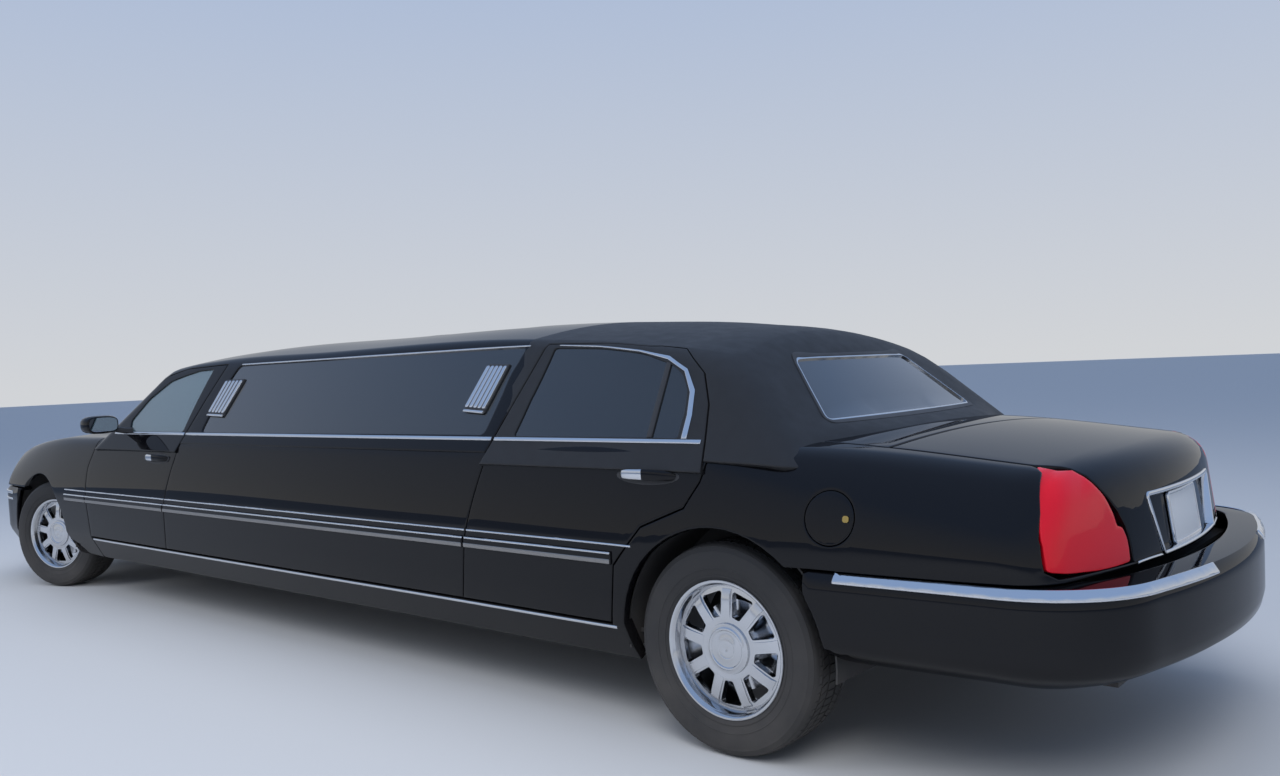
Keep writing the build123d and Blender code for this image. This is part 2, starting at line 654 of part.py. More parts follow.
# Chassis rails, with crossmembers under the floor and raised ends over the rear axle
rail_y, rail_width, rail_height, rail_low_z = 590.0, 70.0, 110.0, 225.0
front_rail_y = 425.0
rear_rail_low_z, rear_rail_top_z, rail_end_x = 450.0, 545.0, rear_axle_x - 1190
with BuildPart() as frame_rails:
    mid_x0, mid_x1 = rear_axle_x + 298, front_axle_x - 560
    for side in (-1, 1):
        in_y, out_y = side * rail_y - rail_width / 2, side * rail_y + rail_width / 2
        front_in_y, front_out_y = side * front_rail_y - rail_width / 2, side * front_rail_y + rail_width / 2
        add(block(mid_x0, mid_x1, in_y, out_y, rail_low_z, rail_low_z + rail_height))
        add(block(mid_x1 - 60, front_axle_x + 860, front_in_y, front_out_y, 300, 400))
        add(block(mid_x0, mid_x0 + 70, in_y, out_y, rail_low_z, rear_rail_top_z))
        add(block(rail_end_x, mid_x0 + 70, in_y, out_y, rear_rail_low_z, rear_rail_top_z))
    add(block(mid_x1 - 60, mid_x1, -rail_y, rail_y, 285, 340))
    for part_way in (0.06, 0.33, 0.66):
        x = mid_x0 + part_way * (mid_x1 - mid_x0)
        add(block(x, x + 70, -rail_y, rail_y, rail_low_z + 72, rail_low_z + 110))
    add(block(front_axle_x + 780, front_axle_x + 860, -front_rail_y, front_rail_y, 300, 400))
    add(block(rail_end_x, rail_end_x + 60, -rail_y, rail_y, rear_rail_low_z, rear_rail_top_z))
save("frame_rails", frame_rails)

# Floor, stepped up over the rear axle and down again in the trunk
floor_plate = 15.0
with BuildPart() as floor_pan:
    add(block(rear_axle_x + 380, front_axle_x - 622, -868, 868, floor_z - floor_plate, floor_z))
    add(block(rear_axle_x + 380, front_axle_x - 622, -115, 115, floor_z - floor_plate, 465))
    add(block(rear_axle_x + 380, rear_axle_x + 395, -668, 668, floor_z - floor_plate, 575))
    add(block(rear_axle_x + 370, front_axle_x - 612, -100, 100, floor_z - floor_plate - 5, 450),
        mode=Mode.SUBTRACT)
    add(block(rear_axle_x - 400, rear_axle_x + 395, -668, 668, 560, 575))
    add(block(rear_axle_x - 1120, rear_axle_x - 400, -800, 800, 560, 575))
    for side in (-1, 1):
        with BuildSketch(Plane.XZ.offset(-668 if side > 0 else 653)) as wall:
            with Locations((rear_axle_x, axle_height)):
                Circle(arch_radius + 8)
            with Locations((rear_axle_x, 0)):
                Rectangle(3 * arch_radius, 2 * 575, mode=Mode.SUBTRACT)
        extrude(amount=-15 if side > 0 else 15)
save("floor_pan", floor_pan)

# Drive train
with BuildPart() as engine:
    add(block(front_axle_x - 380, front_axle_x + 240, -275, 275, 405, 830))
    add(block(front_axle_x - 590, front_axle_x - 380, -190, 190, 405, 650))
    add(block(front_axle_x + 640, front_axle_x + 690, -360, 360, 402, 690))
save("engine", engine)
shaft_z, shaft_radius = 395.0, 38.0

with BuildPart() as rear_axle:
    with BuildSketch(Plane.XZ.offset(-(rear_track / 2 - 13))):
        with Locations((rear_axle_x, axle_height)):
            Circle(38)
    extrude(amount=rear_track - 26)
    with BuildSketch(Plane.XZ.offset(-150)):
        with Locations((rear_axle_x, axle_height)):
            Circle(115)
    extrude(amount=300)
    with BuildSketch(Plane.YZ.offset(rear_axle_x)):
        with Locations((0, shaft_z - 15)):
            Circle(62)
    extrude(amount=234)
    with BuildSketch(Plane.YZ.offset(rear_axle_x + 230)):
        with Locations((0, shaft_z)):
            Circle(shaft_radius)
    extrude(amount=front_axle_x - 590 - rear_axle_x - 230)
    for side in (-1, 1):
        add(block(rear_axle_x - 45, rear_axle_x + 45, side * rail_y - 45, side * rail_y + 45, 375, 450))
        with BuildSketch(Plane.XZ.offset(-side * 730 - 15)):
            with Locations((rear_axle_x, axle_height)):
                Circle(120)
        extrude(amount=30)
save("rear_axle", rear_axle)

# Front suspension: crossmember, lower and upper arms with their ball studs on the kingpin line
knuckle_low_z, knuckle_high_z = 250.0, 488.0
with BuildPart() as front_suspension:
    add(block(front_axle_x - 90, front_axle_x + 90, -460, 460, 205, 300))
    for side in (-1, 1):
        pin = side * kingpin_y
        low, high = min(side * 380, pin), max(side * 380, pin)
        tower = sorted((side * 380, side * 440))
        add(block(front_axle_x - 38, front_axle_x + 38, low, high, 205, 238))
        add(block(front_axle_x - 30, front_axle_x + 30, low, high, 500, 525))
        add(block(front_axle_x - 30, front_axle_x + 30, *tower, 400, 525))
        with BuildSketch(Plane.XY.offset(238)):
            with Locations((front_axle_x, pin)):
                Circle(14)
        extrude(amount=knuckle_low_z - 238.5)
        with BuildSketch(Plane.XY.offset(knuckle_high_z + 0.5)):
            with Locations((front_axle_x, pin)):
                Circle(14)
        extrude(amount=500 - knuckle_high_z - 0.5)
save("front_suspension", front_suspension)

# Exhaust, bent over the axle
exhaust_route = [(front_axle_x - 560, -240, 250), (rear_axle_x + 700, -240, 250),
                 (rear_axle_x + 400, -330, 262), (rear_axle_x + 150, -330, 500),
                 (rear_axle_x - 200, -330, 500), (rear_axle_x - 520, -490, 300),
                 (rear_axle_x - 1290, -490, 270)]
with BuildPart() as exhaust:
    with BuildLine() as route:
        FilletPolyline(*exhaust_route, radius=110)
    with BuildSketch(Plane(origin=exhaust_route[0], z_dir=(-1, 0, 0))):
        Circle(28)
    sweep(path=route.wires()[0])
    add(block(rear_axle_x + 1000, rear_axle_x + 1600, -340, -140, 214, 284))
save("exhaust", exhaust)
with BuildPart() as fuel_tank:
    add(block(rear_axle_x - 1100, rear_axle_x - 580, -420, 520, 300, 448))
save("fuel_tank", fuel_tank)

# Cabin: dashboard, steering wheel, seats, partition and bar
wheel_y, wheel_x, wheel_z, wheel_tilt = 380.0, front_axle_x - 1160, 850.0, 65.0
dash_half = 785.0
wheel_plane = Plane(origin=(wheel_x, wheel_y, wheel_z), x_dir=(0, 1, 0),
                    z_dir=(-sin(radians(wheel_tilt)), 0, cos(radians(wheel_tilt))))
with BuildPart() as dashboard:
    with BuildSketch(Plane.XZ.offset(-dash_half)):
        with BuildLine():
            Polyline((front_axle_x - 622, 640), (front_axle_x - 622, 890), (front_axle_x - 880, 930),
                     (front_axle_x - 1000, 900), (front_axle_x - 1010, 780), (front_axle_x - 900, 640),
                     close=True)
        make_face()
    extrude(amount=2 * dash_half)
    with BuildSketch(wheel_plane):
        Circle(195)
        Circle(165, mode=Mode.SUBTRACT)
        Circle(60)
        with PolarLocations(112, 3, 90):
            Rectangle(120, 40)
    extrude(amount=24)
    with BuildSketch(wheel_plane):
        Circle(30)
    extrude(amount=-150)
save("dashboard", dashboard)


def seat_form(x_back, y0, y1, base_z, cushion_z, depth, back_top):
    """One plain seat: cushion and leaning back in one closed form."""
    with BuildPart() as seat:
        with BuildSketch(Plane.XZ.offset(-y1)):
            with BuildLine():
                Polyline((x_back, base_z), (x_back + depth, base_z), (x_back + depth, cushion_z),
                         (x_back + 175, cushion_z - 25), (x_back + 60, back_top), (x_back - 70, back_top),
                         close=True)
            make_face()
        extrude(amount=y1 - y0)
        fillet(seat.edges().filter_by(Axis.Y), 22)
    return seat.part


lounge_x0, lounge_x1 = rear_axle_x + 1330, front_axle_x - 2320
with BuildPart() as seats:
    for y0, y1 in ((130, 680), (-680, -130)):
        add(seat_form(front_axle_x - 1930, y0, y1, floor_z, 600, 650, 1030))
        middle = (y0 + y1) / 2
        add(block(front_axle_x - 2000, front_axle_x - 1890, middle - 130, middle + 130, 1020, 1190))
    add(seat_form(rear_axle_x - 130, -640, 640, 575, 700, 520, 1120))
    with BuildSketch(Plane.YZ.offset(lounge_x0)):
        with BuildLine():
            Polyline((-862, floor_z), (-330, floor_z), (-330, 600), (-700, 580), (-760, 985), (-828, 985),
                     (-828, 880), (-862, 880), close=True)
        make_face()
    extrude(amount=lounge_x1 - lounge_x0)
save("seats", seats)
with BuildPart() as bar_cabinet:
    add(block(rear_axle_x + 1420, lounge_x1, 520, 828, floor_z, 900))
    add(block(rear_axle_x + 1500, lounge_x1 - 80, 515, 790, 780, 905), mode=Mode.SUBTRACT)
save("bar_cabinet", bar_cabinet)
partition_x = front_axle_x - 2200
with BuildPart() as partition:
    with BuildSketch(Plane.YZ.offset(partition_x)) as wall:
        with BuildLine():
            Polyline((-866, floor_z), (866, floor_z), (866, 880), (828, 885), (828, 985), (690, 1345),
                     (-690, 1345), (-828, 985), (-828, 885), (-866, 880), close=True)
        make_face()
        with Locations((0, 1170)):
            Rectangle(1000, 240, mode=Mode.SUBTRACT)
    extrude(amount=35)
    add(block(partition_x - 5, partition_x + 40, -120, 120, 300, 470), mode=Mode.SUBTRACT)
save("partition", partition)

# Wheels, drawn at the origin with the outer face towards Y
rim_half, hub_face_y, disc_face_y, disc_wall = 100.0, 84.0, 76.0, 26.0
barrel_profile = [(-rim_half, rim_radius), (rim_half, rim_radius), (rim_half, rim_radius - 9),
                  (88, rim_radius - 15), (70, 204), (40, 196), (-60, 205), (-rim_half, 216)]
disc_profile = [(disc_face_y, 60), (disc_face_y + 4, 100), (disc_face_y - 2, 165), (66, 208), (44, 208),
                (disc_face_y - disc_wall, 165), (disc_face_y - disc_wall, 60)]
window_inner, window_outer, spoke_width = 106.0, 186.0, 44.0
half_pitch = radians(180 / spoke_count)
window_corners = [(window_inner, -1), (window_outer, -1), (window_outer, 1), (window_inner, 1)]
window_points = [(radius, side * (radius * tan(half_pitch) - spoke_width / 2 / cos(half_pitch)))
                 for radius, side in window_corners]
with BuildSketch() as spoke_window:
    with BuildLine():
        Polyline(*window_points, close=True)
    make_face()
    fillet(spoke_window.vertices(), 9)
with BuildPart() as rim_base:
    for profile in (barrel_profile, disc_profile):
        with BuildSketch(Plane.YZ):
            with BuildLine():
                Polyline(*profile, close=True)
            make_face()
        revolve(axis=Axis.Y)
    with BuildSketch(Plane.XZ.offset(-120)):
        with PolarLocations(0, spoke_count, 90 + 180 / spoke_count):
            add(spoke_window.sketch)
    extrude(amount=90, mode=Mode.SUBTRACT)
    with BuildSketch(Plane.XZ.offset(-hub_face_y)):
        Circle(hub_cap_radius)
    extrude(amount=hub_face_y)
    with BuildSketch(Plane.XZ.offset(-14)):
        Circle(150)
    extrude(amount=26)
with BuildPart() as tyre_base:
    with BuildSketch(Plane.YZ):
        with BuildLine():
            half = tyre_width / 2
            Polyline((-96, rim_radius), (96, rim_radius), (half, 288), (half - 3, 325),
                     (half - 18, tyre_radius), (18 - half, tyre_radius), (3 - half, 325), (-half, 288),
                     close=True)
        make_face()
    revolve(axis=Axis.Y)
steer_sin, steer_cos = sin(radians(rest_steer)), cos(radians(rest_steer))
pin_arm = front_track / 2 - kingpin_y
# Columns: name, x, y, turn about Z
wheel_places = [
    ("front_left", front_axle_x - pin_arm * steer_sin, kingpin_y + pin_arm * steer_cos, rest_steer),
    ("front_right", front_axle_x + pin_arm * steer_sin, -kingpin_y - pin_arm * steer_cos, 180 + rest_steer),
    ("rear_left", rear_axle_x, rear_track / 2, 0),
    ("rear_right", rear_axle_x, -rear_track / 2, 180),
]
for name, x, y, turn in wheel_places:
    place = Location((x, y, axle_height), (0, 0, turn))
    with BuildPart() as rim:
        with Locations(place):
            add(rim_base.part)
    save(f"rim_{name}", rim)
    with BuildPart() as tyre:
        with Locations(place):
            add(tyre_base.part)
    save(f"tyre_{name}", tyre)

# Steering knuckles, turned with the wheels
for name, side, turn in (("left", 1, 0), ("right", -1, 180)):
    with BuildPart() as knuckle_base:
        add(block(-38, 38, -24, 45, knuckle_low_z, knuckle_high_z))
        with BuildSketch(Plane.XZ.offset(-(pin_arm - 13))):
            with Locations((0, axle_height)):
                Circle(48)
        extrude(amount=pin_arm - 40)
        add(block(-190, -30, -20, 5, 265, 290))
    with BuildPart() as knuckle:
        with Locations(Location((front_axle_x, side * kingpin_y, 0), (0, 0, rest_steer + turn))):
            add(knuckle_base.part)
    save(f"knuckle_{name}", knuckle)
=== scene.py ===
import json
from math import cos, pi, radians, sin, sqrt

import bmesh
import bpy
import numpy as np
from mathutils import Matrix, Vector
from mathutils.geometry import delaunay_2d_cdt


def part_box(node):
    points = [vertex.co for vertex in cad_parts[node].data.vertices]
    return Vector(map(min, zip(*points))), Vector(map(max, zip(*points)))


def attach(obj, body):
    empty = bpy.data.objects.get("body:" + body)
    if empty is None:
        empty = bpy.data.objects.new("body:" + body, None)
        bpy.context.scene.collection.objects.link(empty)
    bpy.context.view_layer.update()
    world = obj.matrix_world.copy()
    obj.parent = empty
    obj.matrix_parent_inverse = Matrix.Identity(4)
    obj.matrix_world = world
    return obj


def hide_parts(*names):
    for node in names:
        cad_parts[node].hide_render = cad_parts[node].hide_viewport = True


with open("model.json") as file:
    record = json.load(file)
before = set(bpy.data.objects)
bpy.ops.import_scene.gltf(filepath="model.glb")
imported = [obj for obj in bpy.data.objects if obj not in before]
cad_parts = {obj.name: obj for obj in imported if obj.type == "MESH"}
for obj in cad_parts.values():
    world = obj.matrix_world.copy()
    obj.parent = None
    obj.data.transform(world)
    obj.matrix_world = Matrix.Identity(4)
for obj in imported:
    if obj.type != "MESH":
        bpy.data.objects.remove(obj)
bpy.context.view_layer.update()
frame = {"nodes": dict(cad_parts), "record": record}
nodes = frame["nodes"]
print("frame loaded")

scene = bpy.context.scene
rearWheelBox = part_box("tyre_rear_left")
rearAxleX = (rearWheelBox[0].x + rearWheelBox[1].x) / 2
wheelBase = 5.53
frontAxleX = rearAxleX + wheelBase

# Camera at the photograph's place
cameraPlace = {"behindRearAxle": 2.058, "side": 3.714, "height": 1.281, "yaw": 0.7055, "pitch": -0.0188,
               "roll": -0.0428, "lens": 29.94, "sensor": 36, "nearest": 0.05}


def makeCamera(place):
    yaw, pitch, roll = (place[key] for key in ("yaw", "pitch", "roll"))
    forward = Vector((sin(yaw) * cos(pitch), -cos(yaw) * cos(pitch), sin(pitch)))
    right = forward.cross(Vector((0, 0, 1))).normalized()
    up = right.cross(forward)
    camera = bpy.data.objects.new("camera", bpy.data.cameras.new("camera"))
    scene.collection.objects.link(camera)
    turn = Matrix((cos(roll) * right + sin(roll) * up, cos(roll) * up - sin(roll) * right, -forward))
    spot = Vector((rearAxleX - place["behindRearAxle"], place["side"], place["height"]))
    camera.matrix_world = Matrix.Translation(spot) @ turn.transposed().to_4x4()
    camera.data.sensor_width = place["sensor"]
    camera.data.lens = place["lens"]
    camera.data.clip_start = place["nearest"]
    scene.camera = camera


makeCamera(cameraPlace)
scene.view_settings.view_transform = "Standard"
print("camera placed")


# Shader groups and finishes
def newGroup(name, inputs, outputs):
    group = bpy.data.node_groups.new(name, "ShaderNodeTree")
    for socketName, kind, value in inputs:
        group.interface.new_socket(name=socketName, in_out="INPUT", socket_type=kind).default_value = value
    for socketName, kind in outputs:
        group.interface.new_socket(name=socketName, in_out="OUTPUT", socket_type=kind)
    return group, group.nodes.new("NodeGroupInput"), group.nodes.new("NodeGroupOutput")


def node(tree, kind, **settings):
    made = tree.nodes.new(kind)
    for key, value in settings.items():
        setattr(made, key, value)
    return made


def wire(tree, rows):
    # Links given as node, output, node, input
    for fromNode, output, toNode, socket in rows:
        tree.links.new(fromNode.outputs[output], toNode.inputs[socket])


def mathNode(tree, operation, first, second):
    made = node(tree, "ShaderNodeMath", operation=operation)
    for socket, value in zip(made.inputs, (first, second)):
        if isinstance(value, (int, float)):
            socket.default_value = value
        else:
            tree.links.new(value, socket)
    return made.outputs[0]


def makeGrainGroup():
    # Leather and vinyl grain: small cells with rounded pebbles
    group, taken, given = newGroup(
        "pebbleGrain", [("Scale", "NodeSocketFloat", 600.0), ("Depth", "NodeSocketFloat", 0.5)],
        [("Height", "NodeSocketFloat"), ("Mask", "NodeSocketFloat")])
    place = node(group, "ShaderNodeTexCoord")
    cells = node(group, "ShaderNodeTexVoronoi", feature="SMOOTH_F1")
    waves = node(group, "ShaderNodeTexNoise")
    waves.inputs["Detail"].default_value = 4
    wire(group, [(place, "Object", cells, "Vector"), (place, "Object", waves, "Vector"),
                 (taken, "Scale", cells, "Scale"), (waves, "Fac", given, "Mask")])
    wide = mathNode(group, "MULTIPLY", taken.outputs["Scale"], 0.02)
    group.links.new(wide, waves.inputs["Scale"])
    height = mathNode(group, "MULTIPLY", cells.outputs["Distance"], taken.outputs["Depth"])
    group.links.new(height, given.inputs["Height"])
    return group


def makeDustGroup():
    # Road dust that gathers low on the body, broken up by noise
    group, taken, given = newGroup(
        "roadDust", [("Top", "NodeSocketFloat", 0.5), ("Amount", "NodeSocketFloat", 0.3)],
        [("Mask", "NodeSocketFloat")])
    place, split = node(group, "ShaderNodeTexCoord"), node(group, "ShaderNodeSeparateXYZ")
    waves, fade = node(group, "ShaderNodeTexNoise"), node(group, "ShaderNodeMapRange")
    waves.inputs["Scale"].default_value, waves.inputs["Detail"].default_value = 9, 6
    fade.inputs["From Max"].default_value = 0.12
    wire(group, [(place, "Object", split, 0), (place, "Object", waves, "Vector"), (split, "Z", fade, "Value"),
                 (taken, "Top", fade, "From Min")])
    mixed = mathNode(group, "MULTIPLY", fade.outputs[0], waves.outputs["Fac"])
    group.links.new(mathNode(group, "MULTIPLY", mixed, taken.outputs["Amount"]), given.inputs["Mask"])
    return group


grainGroup, dustGroup = makeGrainGroup(), makeDustGroup()


def placeGroup(tree, group, **values):
    made = node(tree, "ShaderNodeGroup", node_tree=group)
    for key, value in values.items():
        made.inputs[key].default_value = value
    return made


finishes = {
    "paint": {"color": (0.003, 0.003, 0.004), "rough": 0.3, "specular": 0.0, "coat": 0.6, "coatRough": 0.012,
              "dust": (0.5, 0.12)},
    "vinyl": {"color": (0.011, 0.011, 0.012), "rough": 0.55, "grain": (900, 0.5), "dust": (0.5, 0.1)},
    "chrome": {"color": (0.72, 0.73, 0.75), "rough": 0.09, "metal": 1.0},
    "mirrorGlass": {"color": (0.55, 0.58, 0.62), "rough": 0.03, "metal": 1.0},
    "plate": {"color": (0.62, 0.63, 0.64), "rough": 0.35, "grain": (90, 0.1)},
    "brass": {"color": (0.55, 0.38, 0.12), "rough": 0.25, "metal": 1.0},
    "wheelChrome": {"color": (0.66, 0.67, 0.69), "rough": 0.16, "metal": 1.0, "dust": (0.7, 0.25)},
    "rubber": {"color": (0.018, 0.018, 0.019), "rough": 0.72, "grain": (300, 0.2), "dust": (0.7, 0.35)},
    "darkGlass": {"color": (0.012, 0.014, 0.016), "rough": 0.03, "glass": 0.35, "coat": 1.0, "coatRough": 0.01},
    "tintedGlass": {"color": (0.10, 0.16, 0.18), "rough": 0.03, "glass": 0.5, "coat": 1.0, "coatRough": 0.01},
    "clearGlass": {"color": (0.75, 0.85, 0.86), "rough": 0.02, "glass": 0.9},
    "lampGlass": {"color": (0.85, 0.88, 0.9), "rough": 0.05, "glass": 0.8},
    "redLens": {"color": (0.52, 0.004, 0.014), "rough": 0.25, "specular": 0.2, "coat": 0.35, "coatRough": 0.03},
    "underbody": {"color": (0.02, 0.02, 0.021), "rough": 0.7, "grain": (200, 0.3), "dust": (0.8, 0.4)},
    "castMetal": {"color": (0.11, 0.11, 0.115), "rough": 0.55, "metal": 0.8, "grain": (260, 0.4)},
    # Steel is the exhaust's own colour, and also the grey painted reflection at the foot of the side moulding
    "steel": {"color": (0.32, 0.31, 0.3), "rough": 0.38, "metal": 1.0, "grain": (120, 0.1)},
    "plastic": {"color": (0.022, 0.022, 0.024), "rough": 0.5, "grain": (800, 0.25)},
    "leather": {"color": (0.03, 0.03, 0.032), "rough": 0.45, "grain": (420, 0.5)},
    "wood": {"color": (0.08, 0.03, 0.012), "rough": 0.3, "coat": 0.6, "coatRough": 0.1, "grain": (60, 0.2)},
}


# Key in a finish, socket of the shader, value where the finish doesn't give one
plainSockets = [("metal", "Metallic", 0.0), ("glass", "Transmission Weight", 0.0), ("coat", "Coat Weight", 0.0),
                ("specular", "Specular IOR Level", 0.5), ("coatRough", "Coat Roughness", 0.03)]
wear = {"bumpStrength": 0.3, "bumpDistance": 0.0008, "roughSpread": 0.1, "dustColor": (0.16, 0.14, 0.12, 1)}


def makeFinish(name, look):
    material = bpy.data.materials.new(name)
    material.use_nodes = True
    tree = material.node_tree
    shader = tree.nodes["Principled BSDF"]
    for key, socket, plain in plainSockets:
        shader.inputs[socket].default_value = look.get(key, plain)
    color = (*look["color"], 1)
    shader.inputs["Base Color"].default_value = color
    shader.inputs["Roughness"].default_value = look["rough"]
    if "grain" in look:
        scale, depth = look["grain"]
        grain = placeGroup(tree, grainGroup, Scale=scale, Depth=depth)
        bump = node(tree, "ShaderNodeBump")
        bump.inputs["Strength"].default_value = wear["bumpStrength"]
        bump.inputs["Distance"].default_value = wear["bumpDistance"]
        spread = node(tree, "ShaderNodeMapRange")
        spread.inputs["To Min"].default_value = look["rough"] - wear["roughSpread"]
        spread.inputs["To Max"].default_value = look["rough"] + wear["roughSpread"]
        wire(tree, [(grain, "Height", bump, "Height"), (bump, "Normal", shader, "Normal"),
                    (grain, "Mask", spread, "Value"), (spread, 0, shader, "Roughness")])
    if "dust" in look:
        top, amount = look["dust"]
        dust = placeGroup(tree, dustGroup, Top=top, Amount=amount)
        mix = node(tree, "ShaderNodeMix", data_type="RGBA")
        mix.inputs["A"].default_value = color
        mix.inputs["B"].default_value = wear["dustColor"]
        wire(tree, [(dust, "Mask", mix, "Factor"), (mix, "Result", shader, "Base Color")])
    return material


materials = {name: makeFinish(name, look) for name, look in finishes.items()}
slotFinish = {
    "body_paint": "paint", "vinyl": "vinyl", "chrome_trim": "chrome", "chrome_wheel": "wheelChrome", "tyre": "rubber",
    "tinted_glass": "darkGlass", "clear_glass": "clearGlass", "lamp_glass": "lampGlass", "red_lens": "redLens",
    "underbody": "underbody", "cast_metal": "castMetal", "steel": "steel", "interior_plastic": "plastic",
    "seat_leather": "leather", "wood": "wood",
}
for subpart in frame["record"]["subparts"]:
    for materialSlot in nodes[subpart["node"]].material_slots:
        materialSlot.material = materials[slotFinish[subpart["material_slot"]]]
print("finishes made")

# Body sections, in metres. Columns: x from the rear axle, half width underneath, at the sill, at the side line, at
# the shoulder, shoulder height, shoulder round, height on the centre line
bodySections = np.array([
    (-1.29, 0.780, 0.830, 0.868, 0.862, 0.915, 0.165, 0.945),
    (-0.90, 0.820, 0.885, 0.928, 0.912, 0.957, 0.165, 0.987),
    (-0.40, 0.862, 0.935, 0.970, 0.940, 1.004, 0.140, 1.036),
    (0.10, 0.885, 0.960, 0.985, 0.930, 1.018, 0.062, 1.052),
    (1.50, 0.885, 0.962, 0.985, 0.930, 1.010, 0.050, 1.036),
    (4.03, 0.885, 0.962, 0.985, 0.930, 1.008, 0.050, 1.036),
    (4.83, 0.885, 0.960, 0.985, 0.922, 0.992, 0.056, 1.022),
    (5.43, 0.870, 0.952, 0.978, 0.900, 0.978, 0.066, 1.018),
    (5.98, 0.845, 0.915, 0.950, 0.866, 0.920, 0.072, 0.958),
    (6.51, 0.790, 0.850, 0.885, 0.806, 0.818, 0.072, 0.850),
])
body = {"underHeight": 0.25, "sillHeight": 0.392, "sideHeight": 0.645, "sideBulge": 0.009, "tailPlace": -1.2,
        "tailSweep": 0.235, "nosePlace": 6.47, "noseSweep": 0.33, "endLean": 0.13, "sweepHalf": 1.1,
        "tailRound": 0.10, "noseRound": 0.075, "creaseSoft": 0.05, "creaseReach": 0.11, "creaseCount": 20,
        "middle": 2.5, "stepsAlong": 391, "stepsRound": 333}
# Unrolled width at the lower edge, sill, side line, shoulder, top and centre line
girthMarks = np.array([0.0, 0.142, 0.395, 0.705, 0.80, 1.66])


def bend(a, b, c, t):
    # A quadratic curve
    return (1 - t) ** 2 * a + 2 * t * (1 - t) * b + t ** 2 * c


def fillIn(points, step=0.05, close=False):
    # Straight runs between places, filled in with more places
    rows = points + points[:1] if close else points
    made = []
    for (xa, ya), (xb, yb) in zip(rows, rows[1:]):
        count = max(1, int(np.hypot(xb - xa, yb - ya) / step))
        made += [(xa + (xb - xa) * i / count, ya + (yb - ya) * i / count) for i in range(count)]
    return made if close else made + [points[-1]]


def smoothRows(table, places):
    # Cubic curves through the rows of a table
    xs, values = table[:, 0], table[:, 1:]
    slopes = np.gradient(values, xs, axis=0)
    index = np.clip(np.searchsorted(xs, places) - 1, 0, len(xs) - 2)
    width = (xs[index + 1] - xs[index])[:, None]
    t = np.clip((places - xs[index]) / width[:, 0], 0, 1)[:, None]
    a, b, da, db = values[index], values[index + 1], slopes[index] * width, slopes[index + 1] * width
    return (2 * t ** 3 - 3 * t ** 2 + 1) * a + (t ** 3 - 2 * t ** 2 + t) * da + (3 * t ** 2 - 2 * t ** 3) * b + \
        (t ** 3 - t ** 2) * db


def sectionGrid():
    xs = np.linspace(bodySections[0, 0], bodySections[-1, 0], body["stepsAlong"])
    gs = np.linspace(0, girthMarks[-1], body["stepsRound"])
    under, sill, side, shoulder, top, corner, crown = smoothRows(bodySections, xs).T[:, :, None]
    low, sillZ, sideZ, bulge = (body[key] for key in ("underHeight", "sillHeight", "sideHeight", "sideBulge"))
    g = gs[None, :]
    t = [np.clip((g - girthMarks[i]) / (girthMarks[i + 1] - girthMarks[i]), 0, 1) for i in range(5)]
    slopeOut = ((shoulder - side) - 4 * bulge) / (top - corner - sideZ)
    edgeY = shoulder - corner
    slopeTop = -2 * (crown - top) / edgeY
    reach = (corner + slopeTop * corner) / (1 - slopeTop * slopeOut)
    midY, midZ = shoulder + reach * slopeOut, top - corner + reach
    crownY = edgeY * (1 - t[4])
    zones = [g < mark for mark in girthMarks[1:5]]
    y = np.select(zones, [under + (sill - under) * t[0], sill + (side - sill) * t[1],
                          side + (shoulder - side) * t[2] + 4 * bulge * t[2] * (1 - t[2]),
                          bend(shoulder, midY, edgeY, t[3])], crownY)
    z = np.select(zones, [low + (sillZ - low) * t[0], sillZ + (sideZ - sillZ) * t[1],
                          sideZ + (top - corner - sideZ) * t[2], bend(top - corner, midZ, top, t[3])],
                  crown - (crown - top) * (crownY / edgeY) ** 2)
    # The crease at the side line is softened
    count = body["creaseCount"]
    kernel = np.exp(-0.5 * (np.arange(-count, count + 1) * (gs[1] - gs[0]) / body["creaseSoft"]) ** 2)
    kernel /= kernel.sum()
    near = np.exp(-((gs - girthMarks[2]) / body["creaseReach"]) ** 4)[None, :]
    for rows in (y, z):
        padded = np.pad(rows, ((0, 0), (count, count)), mode="edge")
        soft = np.apply_along_axis(lambda row: np.convolve(row, kernel, "valid"), 1, padded)
        rows += near * (soft - rows)
    return xs, gs, y, z


gridX, gridG, gridY, gridZ = sectionGrid()


def readGrid(values, x, g):
    # A value between the places of the section grid
    i = np.clip((x - gridX[0]) / (gridX[1] - gridX[0]), 0, len(gridX) - 1.001)
    j = np.clip((g - gridG[0]) / (gridG[1] - gridG[0]), 0, len(gridG) - 1.001)
    a, b = i.astype(int), j.astype(int)
    s, t = i - a, j - b
    return (values[a, b] * (1 - s) * (1 - t) + values[a + 1, b] * s * (1 - t) + values[a, b + 1] * (1 - s) * t +
            values[a + 1, b + 1] * s * t)


def sectionAt(x):
    xs = np.full_like(gridG, x)
    return readGrid(gridY, xs, gridG), readGrid(gridZ, xs, gridG)


def girthAtHeight(x, z):
    return float(np.interp(z, np.maximum.accumulate(sectionAt(x)[1]), gridG))


def girthAtWidth(x, y):
    start = np.searchsorted(gridG, girthMarks[2])
    return float(np.interp(-y, -sectionAt(x)[0][start:], gridG[start:]))


def endPlace(y, z, tail):
    # x of the tail or nose surface, swept in plan and leaning
    sweep = (y / body["sweepHalf"]) ** 2
    lean = (z - body["sideHeight"]) * body["endLean"]
    if tail:
        return body["tailPlace"] + sweep * body["tailSweep"] + lean
    return body["nosePlace"] - sweep * body["noseSweep"] - lean


